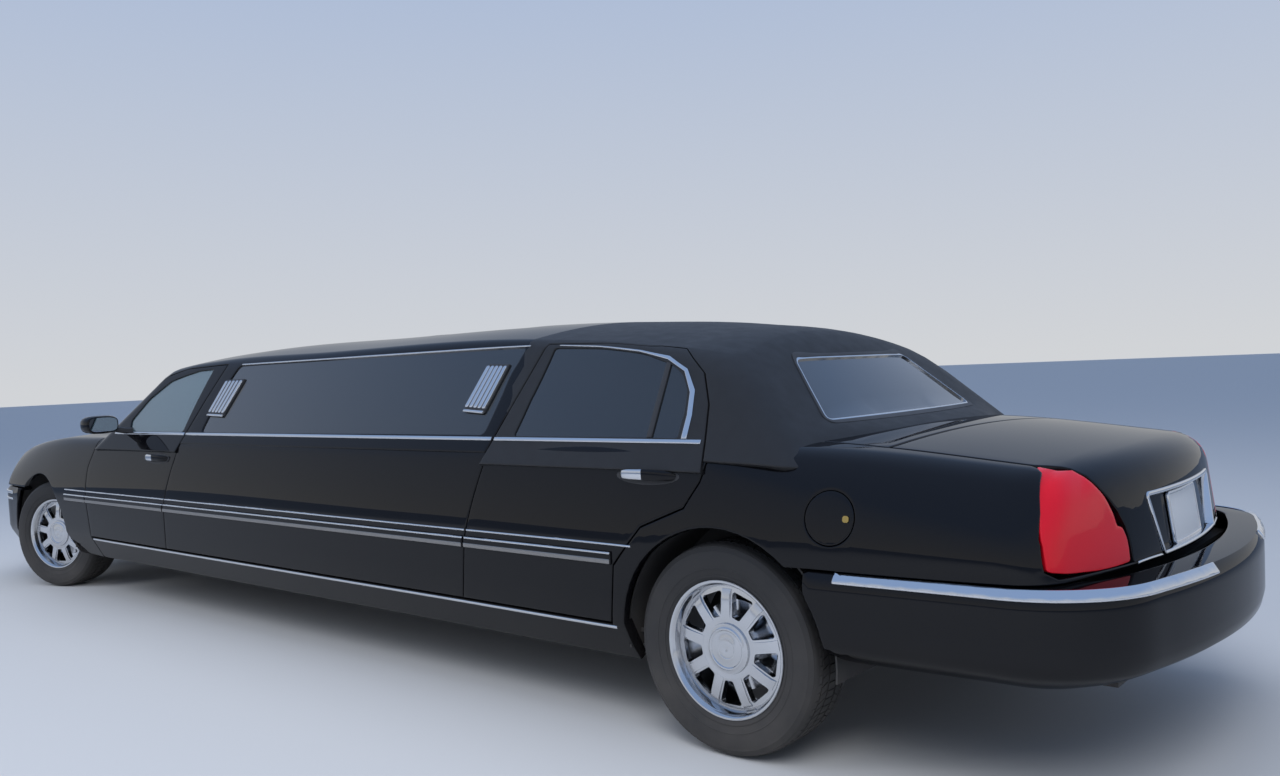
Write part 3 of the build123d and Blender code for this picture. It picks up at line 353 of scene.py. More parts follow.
def bodyPoint(x, g, sideways=False):
    # A point of the lower body. Past the tail or the nose the surface turns down or inwards, sideways only inwards.
    x, g = np.asarray(x, float), np.asarray(g, float)
    xc = np.clip(x, gridX[0], gridX[-1])
    for _ in range(2):
        y, z = readGrid(gridY, xc, g), readGrid(gridZ, xc, g)
        xc = np.clip(x, endPlace(y, z, True), endPlace(y, z, False))
    turn = np.clip((g - girthMarks[3]) / (girthMarks[4] - girthMarks[3]), 0, 1) * (0 if sideways else 1) * pi / 2
    inY, inZ = -np.cos(turn), -np.sin(turn)
    result = np.empty(x.shape + (3,))
    tailX, noseX = endPlace(y, z, True), endPlace(y, z, False)
    for isTail, edge, rounding in ((True, tailX, body["tailRound"]), (False, noseX, body["noseRound"])):
        past = (edge - x) if isTail else (x - edge)
        chosen = (x < body["middle"]) if isTail else (x >= body["middle"])
        w = np.clip((past + rounding) / (2 * rounding), 0, 1)
        # A quadratic curve from the length onto the end face
        along = np.where(past < -rounding, past, np.where(past > rounding, 0.0, -rounding * (1 - w) ** 2))
        inward = np.where(past < -rounding, 0.0, np.where(past > rounding, past, rounding * w ** 2))
        py, pz = y + inY * inward, z + inZ * inward
        px = np.where(past < -rounding, x, endPlace(py, pz, isTail) + (-along if isTail else along))
        result[chosen] = np.stack([px, py, pz], -1)[chosen]
    result[..., 0] += rearAxleX
    return result


def surfaceNormals(surface, u, v, step=0.006):
    du = surface(u + step, v) - surface(u - step, v)
    dv = surface(u, v + step) - surface(u, v - step)
    normal = np.cross(du, dv)
    return normal / np.maximum(np.linalg.norm(normal, axis=-1, keepdims=True), 1e-9)


def densify(points, spacing):
    return np.array(fillIn([tuple(p) for p in points], spacing, True))


def roundCorners(points, radius, steps=5):
    # Cuts each corner of an outline with a short curve
    made, count = [], len(points)
    for i in range(count):
        before, here, after = (np.array(points[(i + k) % count], float) for k in (-1, 0, 1))
        back, on = before - here, after - here
        lengthBack, lengthOn = np.linalg.norm(back), np.linalg.norm(on)
        reach = min(radius, 0.45 * lengthBack, 0.45 * lengthOn)
        start, end = here + back / lengthBack * reach, here + on / lengthOn * reach
        made += [tuple(bend(start, here, end, k / steps)) for k in range(steps + 1)]
    return made


def insetRing(ring, distance):
    # Moves a dense ring inwards, along the mean of its edge normals
    tangent = 0
    for edge in (np.roll(ring, -1, 0) - ring, ring - np.roll(ring, 1, 0)):
        tangent = tangent + edge / np.linalg.norm(edge, axis=1, keepdims=True)
    tangent /= np.maximum(np.linalg.norm(tangent, axis=1, keepdims=True), 1e-6)
    x, y = ring.T
    area = np.sum(x * np.roll(y, -1) - np.roll(x, -1) * y)
    return ring + np.stack([-tangent[:, 1], tangent[:, 0]], 1) * distance * (1 if area > 0 else -1)


def insideRing(points, ring):
    x, y = points[:, 0][:, None], points[:, 1][:, None]
    x0, y0 = ring[:, 0][None], ring[:, 1][None]
    x1, y1 = np.roll(ring, -1, 0)[:, 0][None], np.roll(ring, -1, 0)[:, 1][None]
    crosses = ((y0 > y) != (y1 > y)) & (x < (x1 - x0) * (y - y0) / np.where(y1 == y0, 1e-12, y1 - y0) + x0)
    return crosses.sum(1) % 2 == 1


def ringDistance(points, ring):
    nearest = np.full(len(points), 9.0)
    for p, q in zip(ring, np.roll(ring, -1, 0)):
        along = q - p
        t = np.clip(((points - p) @ along) / max(along @ along, 1e-12), 0, 1)
        nearest = np.minimum(nearest, np.linalg.norm(points - p - t[:, None] * along, axis=1))
    return nearest


bodyCentre = (0.0, 0.0, 0.75)
# Inset from the edge, share of the edge drop
edgeRings = ((0.0, 1.0), (0.0012, 0.38), (0.0035, 0.06), (0.007, 0.0))


def makePanel(name, outline, surface, holes=(), spacing=0.035, thickness=0.02, edgeDrop=0.003, offset=0.0,
              mirror=False, edgeMask=None):
    # A closed skin over a flat outline, laid on a surface, with rolled edges
    rings = []
    for loop, sign in [(outline, 1)] + [(hole, -1) for hole in holes]:
        base = densify(loop, spacing * 0.7)
        rings.append([insetRing(base, inset * sign) for inset, _ in edgeRings])
    outer, inner = rings[0][0], [group[0] for group in rings[1:]]
    across = [np.arange(low + spacing / 2, high, spacing) for low, high in zip(outer.min(0), outer.max(0))]
    field = np.stack(np.meshgrid(*across, indexing="ij"), -1).reshape(-1, 2)
    field = field[insideRing(field, outer)]
    for ring in inner:
        field = field[~insideRing(field, ring)]
    for ring in [outer] + inner:
        field = field[ringDistance(field, ring) > spacing * 0.45]
    flat, edges = [], []
    for group in rings:
        for ring in group:
            start = sum(len(part) for part in flat)
            flat.append(ring)
            edges += [(start + i, start + (i + 1) % len(ring)) for i in range(len(ring))]
    flat = np.concatenate(flat + [field])
    verts, _, faces, _, _, _ = delaunay_2d_cdt([Vector(p) for p in flat], edges, [], 0, 1e-7)
    spots = np.array([tuple(v) for v in verts])
    triangles = np.array([tuple(face) for face in faces])
    centres = spots[triangles].mean(1)
    keep = insideRing(centres, outer)
    for ring in inner:
        keep &= ~insideRing(centres, ring)
    triangles = triangles[keep]
    away = np.min([ringDistance(spots, ring) for ring in [outer] + inner], axis=0)
    drop = np.interp(away, *np.array(edgeRings).T)
    if edgeMask:
        drop = drop * edgeMask(spots[:, 0], spots[:, 1])
    place = surface(spots[:, 0], spots[:, 1])
    normal = surfaceNormals(surface, spots[:, 0], spots[:, 1])
    away = (place - bodyCentre) * (0.25, 1, 1)
    if np.einsum("ij,ij->i", away, normal).mean() < 0:
        normal = -normal
    top = place + normal * (offset - edgeDrop * drop)[:, None]
    under = place + normal * (offset - thickness)
    a, b, c = (top[triangles[:, k]] for k in range(3))
    facing = np.einsum("ij,ij->i", np.cross(b - a, c - a), normal[triangles[:, 0]])
    triangles[facing < 0] = triangles[facing < 0][:, ::-1]
    count = len(top)
    border = dict.fromkeys((tri[k], tri[(k + 1) % 3]) for tri in triangles for k in range(3))
    walls = [(q, p, p + count, q + count) for p, q in border if (q, p) not in border]
    faces = list(triangles) + list(triangles[:, ::-1] + count) + walls
    return makeMesh(name, np.concatenate([top, under]), faces, mirror)


def makeMesh(name, verts, faces, mirror=False, smooth=40):
    verts = np.array(verts, float)
    faces = [tuple(int(i) for i in face) for face in faces]
    if mirror:
        verts = verts * (1, -1, 1)
        faces = [face[::-1] for face in faces]
    mesh = bpy.data.meshes.new(name)
    mesh.from_pydata([tuple(v) for v in verts], [], faces)
    mesh.validate()
    mesh.shade_smooth()
    mesh.set_sharp_from_angle(angle=radians(smooth))
    piece = bpy.data.objects.new(name, mesh)
    scene.collection.objects.link(piece)
    return piece


def dress(piece, finish, carrier="body", stands=()):
    # A finish, the body that carries the piece and the nodes it stands for
    piece.data.materials.clear()
    piece.data.materials.append(materials[finish])
    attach(piece, carrier)
    if stands:
        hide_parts(*stands)
    return piece


def addPanel(name, outline, surface, finish, carrier="body", slotName=None, stands=(), **look):
    # A panel with its finish, the body that carries it and the nodes it stands for
    return dress(makePanel(name, outline, surface, **look), finish, carrier, stands)


def addPair(name, outline, surface, finish, stands=(), **look):
    # A panel and its mirror image as one piece
    pair = [makePanel(name + str(k), outline, surface, mirror=bool(k), **look) for k in (0, 1)]
    dress(joinPieces(name, pair), finish, stands=stands)


def joinPieces(name, pieces):
    with bpy.context.temp_override(active_object=pieces[0], selected_editable_objects=pieces):
        bpy.ops.object.join()
    pieces[0].name = pieces[0].data.name = name
    return pieces[0]


# Panel outlines on the left side, as x from the rear axle and height
gap = 0.0025
doorFront = [(4.758, 0.82), (4.692, 0.985)]
frontDoorRear = [(3.610, 1.021), (3.744, 0.641), (3.780, 0.392)]
rearDoorFront = [(1.262, 0.392), (1.212, 0.652)]
doorShoulder = (1.115, 0.985)
rearDoorRear = [(0.040, 0.985), (0.062, 0.900), (0.120, 0.812), (0.300, 0.740), (0.425, 0.600)]
archRadius, wheelHeight, underEdge, archSpread = 0.402, 0.351, 0.252, 0.84
beltWidth = 0.893  # where the skins end under the side glass


def archPoints(axle, start, end):
    return [(axle + archRadius * cos(a), wheelHeight + archRadius * sin(a)) for a in np.linspace(start, end, 22)]


def sideLine(points):
    # Heights on the side become distances round the section
    return [(x, girthAtHeight(x, z)) for x, z in fillIn(points, 0.06)]


def topLine(points):
    # Half widths on the top become distances round the section
    return [(x, girthAtWidth(x, y)) for x, y in fillIn(points, 0.08)]


def beltLine(x0, x1):
    return topLine([(x0, beltWidth), (x1, beltWidth)])


def shrink(points, amount, step=0.05):
    return [tuple(p) for p in insetRing(densify(points, step), amount)]


def grow(points, amount, step=0.04):
    return shrink(points, -amount, step)


def circle(centre, radius, count=40):
    return [(centre[0] + radius * cos(a), centre[1] + radius * sin(a)) for a in np.linspace(0, 2 * pi, count, False)]


panelDepths = {"frontDoorSkin": 0.045, "rearDoorSkin": 0.045, "sidePanel": 0.045, "sillPanel": 0.045,
               "frontFender": 0.024, "rearQuarter": 0.030}
panelStands = {"sidePanelLeft": ("side_panels",), "frontFenderLeft": ("front_fenders",),
               "rearQuarterLeft": ("quarter_panels",)}


fuelCap = {"centre": (-0.422, 0.809), "hole": 0.083, "radius": 0.080, "lockX": -0.478}


def buildSidePanels():
    frontDoor = sideLine([(4.758, 0.392)] + doorFront) + beltLine(4.685, 3.613) + sideLine(frontDoorRear)
    rearDoor = sideLine(rearDoorFront + [doorShoulder]) + beltLine(1.110, 0.062) + \
        sideLine(rearDoorRear + [(0.460, 0.392)])
    panel = sideLine([(3.780, 0.392), (3.744, 0.641), (3.625, 0.985)]) + beltLine(3.613, 1.110) + \
        sideLine([doorShoulder] + rearDoorFront[::-1])
    sill = sideLine([(4.758, 0.386), (4.758, underEdge)]) + sideLine([(0.40, underEdge), (0.40, 0.386)])
    fender = sideLine([(4.758, 0.386)] + doorFront) + beltLine(4.685, 4.60) + \
        topLine([(4.60, 0.700), (4.885, 0.700), (6.52, 0.640)]) + \
        sideLine([(6.42, 0.775), (6.325, 0.773), (6.325, 0.652), (5.85, 0.652)]) + \
        sideLine(archPoints(wheelBase, archSpread, pi + 0.25)) + sideLine([(5.13, underEdge), (4.758, underEdge)])
    quarter = topLine([(0.062, beltWidth), (-0.10, beltWidth), (-0.13, 0.722), (-0.50, 0.716), (-0.940, 0.700)]) + \
        [(-0.948, 0.842), (-0.990, 0.797), (-1.029, 0.732), (-1.042, 0.669), (-1.055, 0.497), (-1.10, 0.452),
         (-1.60, 0.447)] + sideLine([(-1.60, 0.652), (-0.335, 0.652)]) + \
        sideLine(archPoints(0, pi - archSpread, -0.25)) + \
        sideLine([(0.42, underEdge), (0.46, 0.386)] + rearDoorRear[::-1])
    rows = [("frontDoorSkin", frontDoor, "front_door"), ("rearDoorSkin", rearDoor, "rear_door"),
            ("sidePanel", panel, "body"), ("sillPanel", sill, "body"), ("frontFender", fender, "body"),
            ("rearQuarter", quarter, "body")]
    for name, outline, carrier in rows:
        holes = []
        if name == "rearQuarter":
            holes = [[(x, girthAtHeight(x, z)) for x, z in circle(fuelCap["centre"], fuelCap["hole"])]]
        for side in ("left", "right"):
            label = name + side.capitalize()
            addPanel(label, shrink(outline, gap), bodyPoint, "paint",
                     carrier if carrier == "body" else carrier + "_" + side, stands=panelStands.get(label, ()),
                     holes=holes if side == "left" else (), mirror=side == "right", edgeDrop=0.0025,
                     thickness=panelDepths[name])


buildSidePanels()
print("side panels made")

# Upper body: walls between two plan outlines, a rounded rail and a crowned roof
roofSections = np.array([(-0.42, 1.140), (-0.15, 1.262), (0.10, 1.386), (0.45, 1.445), (1.00, 1.486), (2.595, 1.499),
                         (3.58, 1.496), (3.98, 1.476), (4.24, 1.444), (4.43, 1.405), (4.80, 1.320)])
# Columns: height, front centre, front corner, rear corner, rear centre
upperOutlines = np.array([(0.92, 5.164, 4.721, -0.350, -0.394), (1.54, 4.052, 3.932, 0.316, 0.246)])
upper = {"crownHalf": 0.76, "crownDrop": 0.092, "rearRound": 0.12, "frontRound": 0.075, "wallSpan": 0.47,
         "railSpan": 0.08, "topHeight": 1.54, "lowHeight": 0.92, "shelfHeight": 1.085, "shelfDepth": 0.045,
         "shelfReach": 0.10, "shelfHalf": 0.74}
# Unrolled places round the outline: rear centre, rear corner, side line, front corner, front arc, front centre
perimeter = np.array([0.0, 0.66, 0.86, 5.31, 5.43, 6.10])
railDrop = 0.86  # how far the wall ends below the rail, in reaches


def sideWidth(z):
    # Half width of the wall at a height
    return 0.905 - 0.5067 * (z - 1.028)


def crownHeight(x, y):
    return smoothRows(roofSections, np.clip(x, -0.42, 4.8).ravel())[:, 0].reshape(np.shape(x)) - \
        upper["crownDrop"] * (y / upper["crownHalf"]) ** 2


def planPoint(u, row):
    # A place on a plan outline: an arc, a rounded corner and a straight side, then the same at the front
    z, front, frontCorner, rearCorner, rear = row
    half = sideWidth(z)
    back, fore = upper["rearRound"], upper["frontRound"]

    def arcX(y, centre, corner):
        return centre + (corner - centre) * (y / half) ** 2

    parts = [np.clip((u - a) / (b - a), 0, 1) for a, b in zip(perimeter, perimeter[1:])]
    y1, y5 = parts[0] * (half - back), (1 - parts[4]) * (half - fore)
    x = [arcX(y1, rear, rearCorner),
         bend(arcX(half - back, rear, rearCorner), arcX(half, rear, rearCorner), rearCorner + back, parts[1]),
         rearCorner + back + parts[2] * (frontCorner - fore - rearCorner - back),
         bend(frontCorner - fore, frontCorner, arcX(half - fore, front, frontCorner), parts[3])]
    y = [y1, bend(half - back, half, half, parts[1]), half + 0 * u, bend(half, half, half - fore, parts[3])]
    zones = [u < mark for mark in perimeter[1:5]]
    return np.select(zones, x, arcX(y5, front, frontCorner)), np.select(zones, y, y5)


def wallPoint(u, z):
    w = (z - upper["lowHeight"]) / (upper["topHeight"] - upper["lowHeight"])
    x0, y0 = planPoint(u, upperOutlines[0])
    x1, y1 = planPoint(u, upperOutlines[1])
    y = y0 + (y1 - y0) * w
    # A shelf under the rear window
    shelf = np.clip((upper["shelfHeight"] - z) / upper["shelfDepth"], 0, 1) ** 1.5 * upper["shelfReach"]
    shelf = shelf * np.clip(1 - (y / upper["shelfHalf"]) ** 2, 0, 1) * (u < perimeter[2])
    return x0 + (x1 - x0) * w - shelf, y


def railHeight(u):
    # Height where the wall would meet the roof
    z = np.full(np.shape(u), 1.40)
    for _ in range(24):
        z = 0.5 * z + 0.5 * crownHeight(*wallPoint(u, z))
    return z


railU = np.linspace(0, perimeter[-1], 600)
railZ = railHeight(railU)
softReach = np.interp(railU, [0, 0.5, 0.76, 1.1, 5.1, 5.37, 5.6, 6.1],
                      [0.07, 0.07, 0.09, 0.034, 0.034, 0.05, 0.06, 0.06])


def railData(u):
    # Where the wall ends, and the three places that bend the rail from the wall to the roof
    z = np.interp(u, railU, railZ)
    reach = np.interp(u, railU, softReach)
    low = z - railDrop * reach
    x0, y0 = wallPoint(u, low)
    x1, y1 = wallPoint(u, z)
    inX, inY = np.clip(x1, 0.75, 3.55) - x1, -y1
    length = np.maximum(np.hypot(inX, inY), 1e-6)
    x2, y2 = x1 + inX / length * reach, y1 + inY / length * reach
    return low, (x0, y0, low), (x1, y1, crownHeight(x1, y1)), (x2, y2, crownHeight(x2, y2))


def upperPoint(u, v):
    # u runs round the outline, negative on the right side. v runs up the wall and over the rail.
    u, v = np.asarray(u, float), np.asarray(v, float)
    side, u = np.where(u < 0, -1.0, 1.0), np.clip(np.abs(u), 0, perimeter[-1])
    low, first, middle, last = railData(u)
    z = upper["lowHeight"] + (low - upper["lowHeight"]) * v / upper["wallSpan"]
    x, y = wallPoint(u, z)
    t = np.clip((v - upper["wallSpan"]) / upper["railSpan"], 0, 1)
    bent = [bend(a, b, c, t) for a, b, c in zip(first, middle, last)]
    over = v > upper["wallSpan"]
    spot = [np.where(over, b, a) for a, b in zip((x, y, z), bent)]
    return np.stack([spot[0] + rearAxleX, spot[1] * side, spot[2]], -1)


def screenPoint(s, v):
    # The front of the upper body, with s measured from its centre line
    s = np.asarray(s, float)
    return upperPoint(np.where(s < 0, -1.0, 1.0) * (perimeter[-1] - np.abs(s)), v)


def roofPoint(x, y):
    return np.stack([x + rearAxleX, y, crownHeight(x, y)], -1)


def onSide(points, step=0.05):
    # Places x and z on the side wall as u and v
    made = []
    for x, z in fillIn(points, step, True):
        w = (z - upper["lowHeight"]) / (upper["topHeight"] - upper["lowHeight"])
        front, rear = (upperOutlines[0][k] + (upperOutlines[1][k] - upperOutlines[0][k]) * w for k in (2, 3))
        start, end = rear + upper["rearRound"], front - upper["frontRound"]
        u = perimeter[2] + (x - start) / (end - start) * (perimeter[3] - perimeter[2])
        made.append((u, heightToV(u, z)))
    return made


def heightToV(u, z):
    # The place v of a height, up the wall and over the rail
    drop = railDrop * float(np.interp(u, railU, softReach))
    low = float(np.interp(u, railU, railZ)) - drop
    if z <= low:
        return upper["wallSpan"] * (z - upper["lowHeight"]) / (low - upper["lowHeight"])
    if u < perimeter[1]:
        return upper["wallSpan"] + upper["railSpan"] * (1 - sqrt(max(0.0, 1 - (z - low) / drop)))
    return upper["wallSpan"] + (z - low) * 1.1


def onEnd(points, rear, step=0.05):
    # Places y and z on the rear or front wall as u and v, on the front wall with u from its centre line
    made = []
    rounding = upper["rearRound"] if rear else upper["frontRound"]
    for y, z in fillIn(points, step, True):
        part = abs(y) / (sideWidth(z) - rounding)
        u = min(part, 1.2) * perimeter[1] if rear else perimeter[5] - part * (perimeter[5] - perimeter[4])
        v = heightToV(u, z)
        u = u if rear else perimeter[5] - u
        made.append((u if y >= 0 else -u, v))
    return made


frontDoorTop = [(4.692, 0.93), (4.692, 0.985), (4.500, 1.112), (4.295, 1.250), (4.090, 1.352), (3.890, 1.390),
                (3.458, 1.398), (3.545, 1.205), (3.610, 1.021), (3.645, 0.93)]
rearDoorTop = [(1.145, 0.93), (1.105, 1.03), (1.050, 1.175), (0.962, 1.398), (0.640, 1.397), (0.400, 1.376),
               (0.250, 1.336), (0.140, 1.255), (0.088, 1.150), (0.066, 1.035), (0.050, 0.93)]
frontGlass = [(4.286, 1.036), (4.328, 1.100), (4.220, 1.222), (4.050, 1.318), (3.755, 1.370), (3.597, 1.374),
              (3.639, 1.181), (3.650, 1.037)]
stretchGlass = [(3.445, 1.038), (3.408, 1.232), (3.330, 1.383), (1.081, 1.385), (1.127, 1.275), (1.173, 1.042)]
rearGlass = [(0.995, 1.038), (0.964, 1.174), (0.916, 1.375), (0.671, 1.365), (0.461, 1.336), (0.300, 1.292),
             (0.235, 1.255), (0.195, 1.200), (0.183, 1.130), (0.184, 1.038)]
backGlass = [(-0.577, 1.078), (0.577, 1.078), (0.424, 1.292), (-0.424, 1.292)]
frontScreen = [(-0.80, 1.02), (0.80, 1.02), (0.65, 1.372), (-0.65, 1.372)]
vinyl = {"thickness": 0.022, "edgeDrop": 0.0035}


def flipU(points, sign):
    return [(u * sign, v) for u, v in points]


def onBoth(outline):
    return [flipU(outline, sign) for sign in (1, -1)]


moonCorners = [(1.50, -0.30), (2.25, -0.30), (2.25, 0.30), (1.50, 0.30)]
vinylEnd = 1.075  # the roof ahead of this place is painted
paneGrow = 0.008  # how far a pane reaches under its frame


def buildRoof(holes, moonroof):
    end, top, low = perimeter[-1], upper["wallSpan"] + upper["railSpan"], 0.055
    ring = [(u, low) for u in np.linspace(-end, end, 200)] + [(u, top) for u in np.linspace(end, -end, 400)]

    def seamMask(u, v):
        return np.where((v > top - 0.012) | (np.abs(u) > end - 0.02), 0.0, 1.0)

    def moonMask(x, y):
        return np.where((np.abs(y) < 0.31) & (x > 1.45) & (x < 2.3), 1.0, 0.0)

    shell = makePanel("roofBand", ring, upperPoint, holes, spacing=0.04, edgeMask=seamMask, **vinyl)
    edge = np.array([railData(np.array([u]))[3] for u in np.linspace(0, end, 260)])[:, :2, 0]
    loop = [(x, y) for x, y in edge] + [(x, -y) for x, y in edge[::-1][1:-1]]
    crown = makePanel("roofCrown", loop, roofPoint, [moonroof], spacing=0.06, edgeMask=moonMask, **vinyl)
    roof = dress(joinPieces("roofSkin", [shell, crown]), "vinyl", stands=("roof",))
    roof.data.materials.append(materials["paint"])
    for face in roof.data.polygons:
        face.material_index = int(face.center.x > rearAxleX + vinylEnd)


def buildUpper():
    openings = [onSide(frontDoorTop), onSide(rearDoorTop)]
    stretchHole = roundCorners(onSide(stretchGlass, 9), 0.03)
    backHole = roundCorners(onEnd(backGlass, True, 0.1), 0.03)
    screenHole = roundCorners(onEnd(frontScreen, False, 9), 0.05)
    screenNotches = onBoth([(perimeter[-1] - max(s, -0.2), v) for s, v in screenHole])
    moonroof = roundCorners(moonCorners, 0.06)
    buildRoof([hole for opening in openings for hole in onBoth(grow(opening, gap))] + onBoth(stretchHole) +
              [backHole] + screenNotches, moonroof)
    glassLook = {"thickness": 0.004, "edgeDrop": 0.0008, "offset": -0.006, "spacing": 0.06}
    for sign, side in ((1, "left"), (-1, "right")):
        for end, opening, window, finish, glass in zip(("front", "rear"), openings, (frontGlass, rearGlass),
                                                       ("paint", "vinyl"), ("tintedGlass", "darkGlass")):
            carrier, tag = end + "_door_" + side, side.capitalize()
            cut = roundCorners(onSide(window, 9), 0.02)
            addPanel(end + "DoorFrame" + tag, flipU(shrink(opening, gap), sign), upperPoint, finish, carrier,
                     stands=(carrier,), holes=[flipU(cut, sign)], spacing=0.03, thickness=0.03, edgeDrop=0.002)
            addPanel(end + "DoorGlass" + tag, flipU(grow(cut, paneGrow), sign), upperPoint, glass, carrier,
                     "tinted_glass", (end + "_glass_" + side,), **glassLook)
    for name, outer, inner, finish, lift in (("windowGasket", 0.016, 0.003, "plastic", 0.003),
                                             ("windowTrim", 0.003, -0.003, "chrome", 0.002)):
        addPanel(name, grow(backHole, outer), upperPoint, finish, holes=[grow(backHole, inner)], spacing=0.03,
                 thickness=0.012, edgeDrop=0.001, offset=lift)
    panes = [makePanel("pane" + str(i), grow(hole, paneGrow), upperPoint, **glassLook)
             for i, hole in enumerate(onBoth(stretchHole) + [backHole])]
    panes.append(makePanel("moonPane", grow(moonroof, paneGrow), roofPoint, **glassLook))
    dress(joinPieces("fixedGlass", panes), "darkGlass", stands=("fixed_windows",))
    addPanel("screenGlass", grow(screenHole, paneGrow), screenPoint, "clearGlass", stands=("windscreen",), **glassLook)


buildUpper()
print("upper body made")

# Hood, cowl, deck strip, trunk lid and lamps
halfGirth = girthMarks[-1]


def crossPoint(x, h):
    # Surface over the full width, with h measured from the centre line
    h = np.asarray(h, float)
    place = bodyPoint(x, halfGirth - np.abs(h))
    place[..., 1] *= np.sign(h)
    return place


def lampPoint(x, g):
    # Turns inwards round the corner of the tail, under the same rounding from the deck as the trunk lid
    place = bodyPoint(x, g, True)
    reach = body["tailRound"]
    ys, zs = sectionAt(-1.08)
    start = np.searchsorted(gridG, girthMarks[3])
    deck = np.interp(-place[..., 1], -ys[start:], zs[start:])
    under = np.clip((deck - place[..., 2]) / reach, 0, 1)
    turned = np.clip((endPlace(place[..., 1], place[..., 2], True) - np.asarray(x) + reach) / (2 * reach), 0, 1)
    place[..., 0] += reach * (1 - np.sqrt(under)) ** 2 * turned
    return place


def pastRound(depth, reach):
    # How far past the edge a place lies that is this deep under the start of the rounding
    return depth if depth > reach else reach * (2 * sqrt(max(depth, 0.0) / reach) - 1)


def overWidth(x, y):
    return x, float(np.sign(y)) * (halfGirth - girthAtWidth(x, abs(y)))


def endRound(tail):
    return body["tailRound" if tail else "noseRound"]


def endSpot(y, z, tail):
    # A place on the tail or nose face, as x past the end and width from the centre line
    x = -1.15 if tail else 6.42
    for _ in range(4):
        g = girthAtWidth(x, abs(y))
        top = float(np.interp(g, gridG, sectionAt(x)[1]))
        x = endPlace(abs(y), top, tail)
    past = pastRound(top - z, endRound(tail))
    return (x - past if tail else x + past), float(np.sign(y)) * (halfGirth - g)


def lampSpot(y, z, tail=True):
    # The same as x past the end and distance round the section
    x = -1.05 if tail else 6.3
    for _ in range(4):
        g = girthAtHeight(x, z)
        wide = float(np.interp(g, gridG, sectionAt(x)[0]))
        x = endPlace(wide, z, tail)
    past = pastRound(wide - y, endRound(tail))
    return (x - past if tail else x + past), g


def bothHalves(half):
    # A left run from the centre line outwards and its mirror image, as one loop
    return half + [(x, -h) for x, h in reversed(half) if abs(h) > 1e-6]


lidFace = [(0.634, 0.938), (0.620, 0.921), (0.609, 0.895), (0.580, 0.857), (0.543, 0.815), (0.515, 0.770),
           (0.505, 0.735), (0.502, 0.706), (0.504, 0.672), (0.498, 0.654)]
# Lamp outline, as x past the tail and girth: outer edge, inner edge, lower edge
lampOutline = [(-1.060, 0.497), (-1.047, 0.669), (-1.034, 0.730), (-0.995, 0.793), (-0.955, 0.838), (-0.965, 0.845),
               (-1.050, 0.838), (-1.135, 0.810), (-1.203, 0.773), (-1.250, 0.752), (-1.300, 0.735), (-1.356, 0.715),
               (-1.400, 0.688), (-1.424, 0.612), (-1.432, 0.542), (-1.432, 0.454), (-1.350, 0.448), (-1.264, 0.450),
               (-1.142, 0.470)]
plateFace = {"topHalf": 0.350, "lowHalf": 0.298, "low": 0.667, "high": 0.838, "depth": 0.030, "rim": 0.013,
             "half": 0.153, "tall": 0.074, "down": 0.004}


def halfOverWidth(spots):
    return [overWidth(x, y) for x, y in fillIn(spots)]


def buildLids():
    topHalf = halfOverWidth([(-0.507, 0.0), (-0.507, 0.708), (-0.945, 0.692), (-1.010, 0.652)])
    faceHalf = [endSpot(y, z, True) for y, z in fillIn(lidFace)]
    bottom = [endSpot(y, 0.654, True) for y in np.linspace(0.44, 0, 10)]
    top, wide, low, high = (plateFace[key] for key in ("topHalf", "lowHalf", "low", "high"))
    corners = [(wide, low), (top, high), (-top, high), (-wide, low)]
    plateHole = roundCorners([endSpot(y, z, True) for y, z in fillIn(corners, close=True)], 0.004)
    strip = halfOverWidth([(-0.500, 0.0), (-0.500, 0.710), (-0.13, 0.710), (-0.13, 0.0)])
    hood = halfOverWidth([(5.06, 0.0), (4.885, 0.698), (6.30, 0.648)]) + \
        [endSpot(y, 0.776, False) for y in np.linspace(0.64, 0.0, 12)]
    cowl = halfOverWidth([(4.62, 0.0), (4.62, 0.698), (4.876, 0.698), (5.05, 0.0)])
    for name, half, inset, holes, finish, carrier, stands in (
            ("trunkSkin", topHalf + faceHalf + bottom, gap, [plateHole], "paint", "trunk_lid", "trunk_lid"),
            ("deckStrip", strip, 0, (), "paint", "body", "rear_deck"),
            ("hoodSkin", hood, gap, (), "paint", "hood", "hood"),
            ("cowlSkin", cowl, 0, (), "plastic", "body", "cowl")):
        outline = bothHalves(half)
        addPanel(name, shrink(outline, inset) if inset else outline, crossPoint, finish, carrier, stands=(stands,),
                 holes=holes, spacing=0.05, thickness=0.022, edgeDrop=0.0025)
    addPair("tailLenses", shrink(roundCorners(lampOutline, 0.02), 0.001), lampPoint, "redLens", ("tail_lamps",),
            spacing=0.03, thickness=0.03, edgeDrop=0.004)
    return plateHole


plateHole = buildLids()
print("lids made")

# Bumpers, laid over a plan curve and an upright profile
rearPlan = [(-0.335, 0.980), (-0.880, 0.950), (-1.140, 0.862), (-1.262, 0.640), (-1.350, 0.0)]
frontPlan = [(5.865, 0.978), (6.070, 0.950), (6.330, 0.842), (6.455, 0.620), (6.540, 0.0)]
# Columns: height, how far the plan curve is moved in
rearProfile = [(0.330, 0.200), (0.372, 0.080), (0.404, 0.020), (0.424, 0.002), (0.560, 0.0), (0.620, 0.0),
               (0.643, 0.006), (0.648, 0.030), (0.650, 0.110)]
bumperEven = {"planStep": 0.005, "planSoft": 14, "profileStep": 0.002, "profileSoft": 7, "sideWidth": 0.93}
frontProfile = [(0.262, 0.060), (0.360, 0.004), (0.560, 0.0), (0.620, 0.0), (0.643, 0.006), (0.648, 0.030),
                (0.650, 0.090)]


